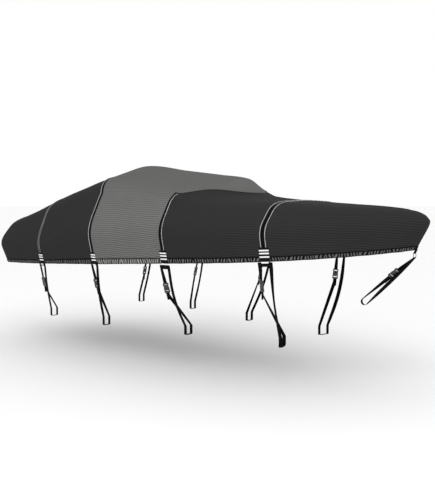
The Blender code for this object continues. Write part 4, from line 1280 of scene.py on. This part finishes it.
strapShape = {"width": 0.040, "thickness": 0.0016, "footRise": 0.100, "footZ": -1.950,
              "straight": 0.040, "tail": 0.080, "tailOff": 0.0032, "kneeRun": 0.030,
              "bendRadius": 0.010, "step": 0.03, "tabClear": 0.006,
              "folded": 1.2,  # a width longer than this marks a folded corner
              "straightOn": 0.998}


def isFolded(width):
    return np.linalg.norm(width) > strapShape["folded"]


def softened(stations):
    # rounds every bend that isn't a folded corner, and divides the long runs
    made = [stations[0]]
    for (before, _), (point, width), (after, _) in zip(stations, stations[1:], stations[2:]):
        into, onward = point - before, after - point
        room = min(strapShape["bendRadius"], 0.45 * np.linalg.norm(into),
                   0.45 * np.linalg.norm(onward))
        into, onward = unit(into), unit(onward)
        if isFolded(width) or into @ onward > strapShape["straightOn"]:
            made.append((point, width))
            continue
        start, end = point - into * room, point + onward * room
        for share in (0.0, 0.25, 0.5, 0.75, 1.0):
            near = start * (1 - share) ** 2 + point * (2 * share * (1 - share))
            made.append((near + end * share ** 2, width))
    made.append(stations[-1])
    fine = [made[0]]
    for (first, widthFirst), (second, widthSecond) in zip(made, made[1:]):
        count = max(1, round(np.linalg.norm(second - first) / strapShape["step"]))
        for i in range(1, count):
            share = i / count
            if isFolded(widthFirst) and isFolded(widthSecond):
                continue
            width = unit(unit(widthFirst) * (1 - share) + unit(widthSecond) * share)
            if isFolded(widthFirst) or isFolded(widthSecond):
                width = unit(widthSecond if isFolded(widthFirst) else widthFirst)
            fine.append((first + (second - first) * share, width))
        fine.append((second, widthSecond))
    return fine


def strapPiece(name, stations, node):
    points, widths = zip(*softened([tuple(asRows(*place)) for place in stations]))
    outwards = []
    for i, width in enumerate(widths):
        total = np.zeros(3)
        for j in (i - 1, i):
            if 0 <= j < len(points) - 1:
                total += unit(np.cross(points[j + 1] - points[j], width))
        outwards.append(unit(total))
    bm = bmesh.new()
    sweep(bm, points, widths, outwards, tapeProfile(strapShape["width"], strapShape["thickness"]))
    finishPiece(name, bm, (webbing,), "black_webbing", node, 50)
    print("strap", name, "length", round(float(lengthsAlong(points)[-1]), 3))


def foldBack(entry, run, out, width):
    # end of the long strap: half turn inside the plug's pocket, with a free tail on the outside
    radius, tail = strapShape["tailOff"] / 2, strapShape["tail"]
    deep = run * buckleShape["pocket"]
    line = [entry - out * radius + run * 0.004]
    for angle in divided(0.0, math.pi, 6):
        line.append(entry - deep * 0.82 - out * (radius * math.cos(angle))
                    - run * (radius * math.sin(angle)))
    for down, off in ((0.004, 0.0), (tail * 0.35, 0.0012), (tail * 0.7, 0.003), (tail, 0.007)):
        line.append(entry + out * radius + run * down + out * off)
    return [(point, width) for point in line]


def turned(vector, axis, degrees):
    return np.array(Quaternion(Vector(axis), math.radians(degrees)) @ Vector(vector))


def easing(start, width0, end, width1, steps=4):
    # stations between two points whose widths point differently
    return [(start + (end - start) * share, unit(width0 * (1.0 - share) + width1 * share))
            for share in divided(0.0, 1.0, steps)[1:-1]]


def plainLeg(top, foot, width, outboard, sag, turn):
    # the leg without a buckle: it sags outwards and turns about its own run midway
    run = unit(foot - top)
    flat = unit(width - run * (width @ run))
    made = []
    for share in divided(0.0, 1.0, 10)[1:-1]:
        swell = math.sin(math.pi * share)
        point = top + (foot - top) * share + outboard * (sag * swell)
        made.append((point, turned(flat, run, turn * swell)))
    return made


def sideStrap(letter, side, label):
    shape = seams[letter]
    origin, ahead, out, up = hemFrame(seamAt[letter], side)
    middle = tabShape["lift"] + tabShape["depth"] / 2
    half = ahead * (shape["tabWidth"] / 2 + strapShape["tabClear"])
    sleeve = origin + out * middle + up * (tabShape["sleeveHeight"] / 2 - shape["tabDrop"])
    aftCorner, foreCorner = sleeve - half, sleeve + half
    aftTop, foreTop = (corner - up * strapShape["straight"] for corner in (aftCorner, foreCorner))
    outboard = unit(np.array((out[0], out[1], 0.0)))
    footFront = np.array((origin[0], side * shape["footY"], strapShape["footZ"]))
    footBack = footFront - outboard * shape["footDepth"]
    rise = np.array((0.0, 0.0, strapShape["footRise"]))
    kneeY, kneeZ = shape["knee"]
    run = unit(np.array((aftTop[0], side * kneeY, kneeZ)) - aftTop)
    across = turned(unit(ahead - run * (ahead @ run)), run, -side * shape["buckleTurn"])
    start = aftTop + run * (shape["buckleDrop"] - strapShape["straight"])
    entry, buckleOut = buckleOn(label, start, run, across * side)
    knee = entry - buckleOut * (strapShape["tailOff"] / 2) + run * strapShape["kneeRun"]
    strapPiece("strapLoop_" + label, [
        (start + run * buckleShape["pocket"], -across),
        *easing(start, -across, aftTop, -ahead),
        (aftTop, -ahead), (aftCorner, up - ahead), (foreCorner, ahead + up), (foreTop, ahead),
        *plainLeg(foreTop, footFront + rise, ahead, outboard, shape["sag"],
                  -side * shape["legTurn"]),
        (footFront + rise, ahead), (footFront, ahead), (footBack, ahead), (footBack + rise, ahead),
        *easing(footBack + rise, ahead, knee, across),
        (knee, across),
        *foldBack(entry, run, buckleOut, across),
    ], "strap_" + label)


for letter in seams:
    for word, side in bothSides:
        sideStrap(letter, side, letter + "_" + word)


bowShape = {"ringWidth": 0.056, "ringHeight": 0.046, "wire": 0.0028, "ringBend": 0.006,
            "ringLean": 0.02, "ringHang": 0.0050, "footX": 3.003, "footZ": -1.455,
            "footRadius": 0.035, "buckleDrop": 0.205, "turn": 50.0, "wrapGap": 0.0006}


def bowRing(top, down, across):
    # welded rectangular wire ring
    out = unit(np.cross(across, down))
    half, tall, bend = bowShape["ringWidth"] / 2, bowShape["ringHeight"], bowShape["ringBend"]
    corners = ((half - bend, bend, 90), (half - bend, tall - bend, 0),
               (bend - half, tall - bend, -90), (bend - half, bend, -180))
    points = []
    for x, y, start in corners:
        for degrees in divided(start, start - 90.0, 5):
            angle = math.radians(degrees)
            points.append(top + across * (x + bend * math.cos(angle))
                          + down * (y - bend * math.sin(angle)))
    count = len(points)
    sideways = [unit(np.cross(unit(points[(i + 1) % count] - points[i - 1]), out))
                for i in range(count)]
    circle = [(bowShape["wire"] * math.cos(angle), bowShape["wire"] * math.sin(angle))
              for angle in divided(0.0, math.tau, 12)[:-1]]
    bm = bmesh.new()
    sweep(bm, points, sideways, [out] * count, circle, endless=True)
    finishPiece("bowRingWire", bm, (coatedWire,), "buckle_plastic", "bow_ring")


def halfTurn(centre, radius, first, second, width, step):
    turns = [math.radians(degrees) for degrees in range(0, 181, step)]
    return [(centre + (first * math.cos(turn) + second * math.sin(turn)) * radius, width)
            for turn in turns]


def bowStrap():
    origin, ahead, out, up = hemFrame(bowEnd, -1.0)
    across = np.array((0.0, 1.0, 0.0))
    hang = tabShape["layer"] + bowShape["wire"] + bowShape["ringHang"] - bowTab["drop"]
    top = origin + out * (tabShape["lift"] + bowTab["depth"] / 2) + up * hang
    down = unit(np.array((bowShape["ringLean"], 0.0, -1.0)))
    bowRing(top, down, across)
    lowBar = top + down * bowShape["ringHeight"]
    foot = np.array((bowShape["footX"], 0.0, bowShape["footZ"]))
    wrap = bowShape["wire"] + strapShape["thickness"] / 2 + bowShape["wrapGap"]
    run = unit(foot - lowBar)
    upper = -unit(np.cross(run, across))
    legTop = lowBar + upper * wrap
    legRun = unit(foot + upper * bowShape["footRadius"] - legTop)
    start = legTop + legRun * bowShape["buckleDrop"]
    facing = turned(across, legRun, bowShape["turn"])
    entry, buckleOut = buckleOn("bow", start, legRun, -facing)
    knee = entry - buckleOut * (strapShape["tailOff"] / 2) + legRun * strapShape["kneeRun"]
    ringTurn = halfTurn(lowBar, wrap, upper, -run, across, 30)
    footTurn = halfTurn(foot, bowShape["footRadius"], -upper, run, across, 15)
    strapPiece("strapLoop_bow", [
        (start + legRun * buckleShape["pocket"], facing),
        *easing(start, facing, ringTurn[0][0], across, 6),
        *ringTurn,
        *plainLeg(ringTurn[-1][0], footTurn[0][0], across, upper, 0.0, bowShape["turn"]),
        *footTurn,
        *easing(footTurn[-1][0], across, knee, facing, 6),
        (knee, facing),
        *foldBack(entry, legRun, buckleOut, facing),
    ], "strap_bow")


bowStrap()
print("straps and buckles placed")


studio = {
    "floorZ": -2.343, "floorSize": 400.0, "floorTone": 0.96, "worldGrey": 1.0,
    # each light's place, aim, size and power
    "keyLight": ((4.6, -4.2, 4.0), (2.4, 0.0, -0.6), 3.0, 90.0),
    "fillLight": ((-5.0, -5.0, 3.0), (-0.5, 0.0, -0.8), 5.0, 15.0),
    "cameraPlace": (6.114, -6.023, -0.432), "cameraTurn": 40.0, "cameraDip": 4.12,
    "lens": 48.0, "sensor": 36.0, "clipEnd": 200.0,
}


def studioFloor():
    bm = bmesh.new()
    bmesh.ops.create_grid(bm, x_segments=8, y_segments=8, size=studio["floorSize"] / 2)
    bmesh.ops.translate(bm, verts=bm.verts, vec=(0.0, 0.0, studio["floorZ"]))
    mesh = meshFrom(bm, "studioFloor")
    made, tree, shader = newMaterial("paleFloor", 0.85, Specular_IOR_Level=0.1)
    feed(tree, shader, Base_Color=(studio["floorTone"],) * 3)
    mesh.materials.append(made)
    linked("studioFloor", mesh)


def studioLight():
    world = bpy.data.worlds.new("studioSky")
    bpy.context.scene.world = world
    world.use_nodes = True
    feed(world.node_tree, world.node_tree.nodes["Background"].inputs, Color=(1.0, 1.0, 1.0),
         Strength=studio["worldGrey"])
    for name in ("keyLight", "fillLight"):
        place, aim, size, power = studio[name]
        light = bpy.data.lights.new(name, "AREA")
        light.shape = "DISK"
        light.size = size
        light.energy = power
        made = linked(name, light)
        made.location = place
        made.rotation_euler = (Vector(aim) - Vector(place)).to_track_quat("-Z", "Y").to_euler()


def studioCamera():
    data = bpy.data.cameras.new("photoCamera")
    data.lens = studio["lens"]
    data.sensor_width = studio["sensor"]
    data.clip_end = studio["clipEnd"]
    camera = linked("photoCamera", data)
    camera.location = studio["cameraPlace"]
    tilt = math.radians(90.0 - studio["cameraDip"])
    camera.rotation_euler = (tilt, 0.0, math.radians(studio["cameraTurn"]))
    bpy.context.scene.camera = camera


studioFloor()
studioLight()
studioCamera()
bpy.context.scene.view_settings.view_transform = "Standard"
print("floor, light and camera set")
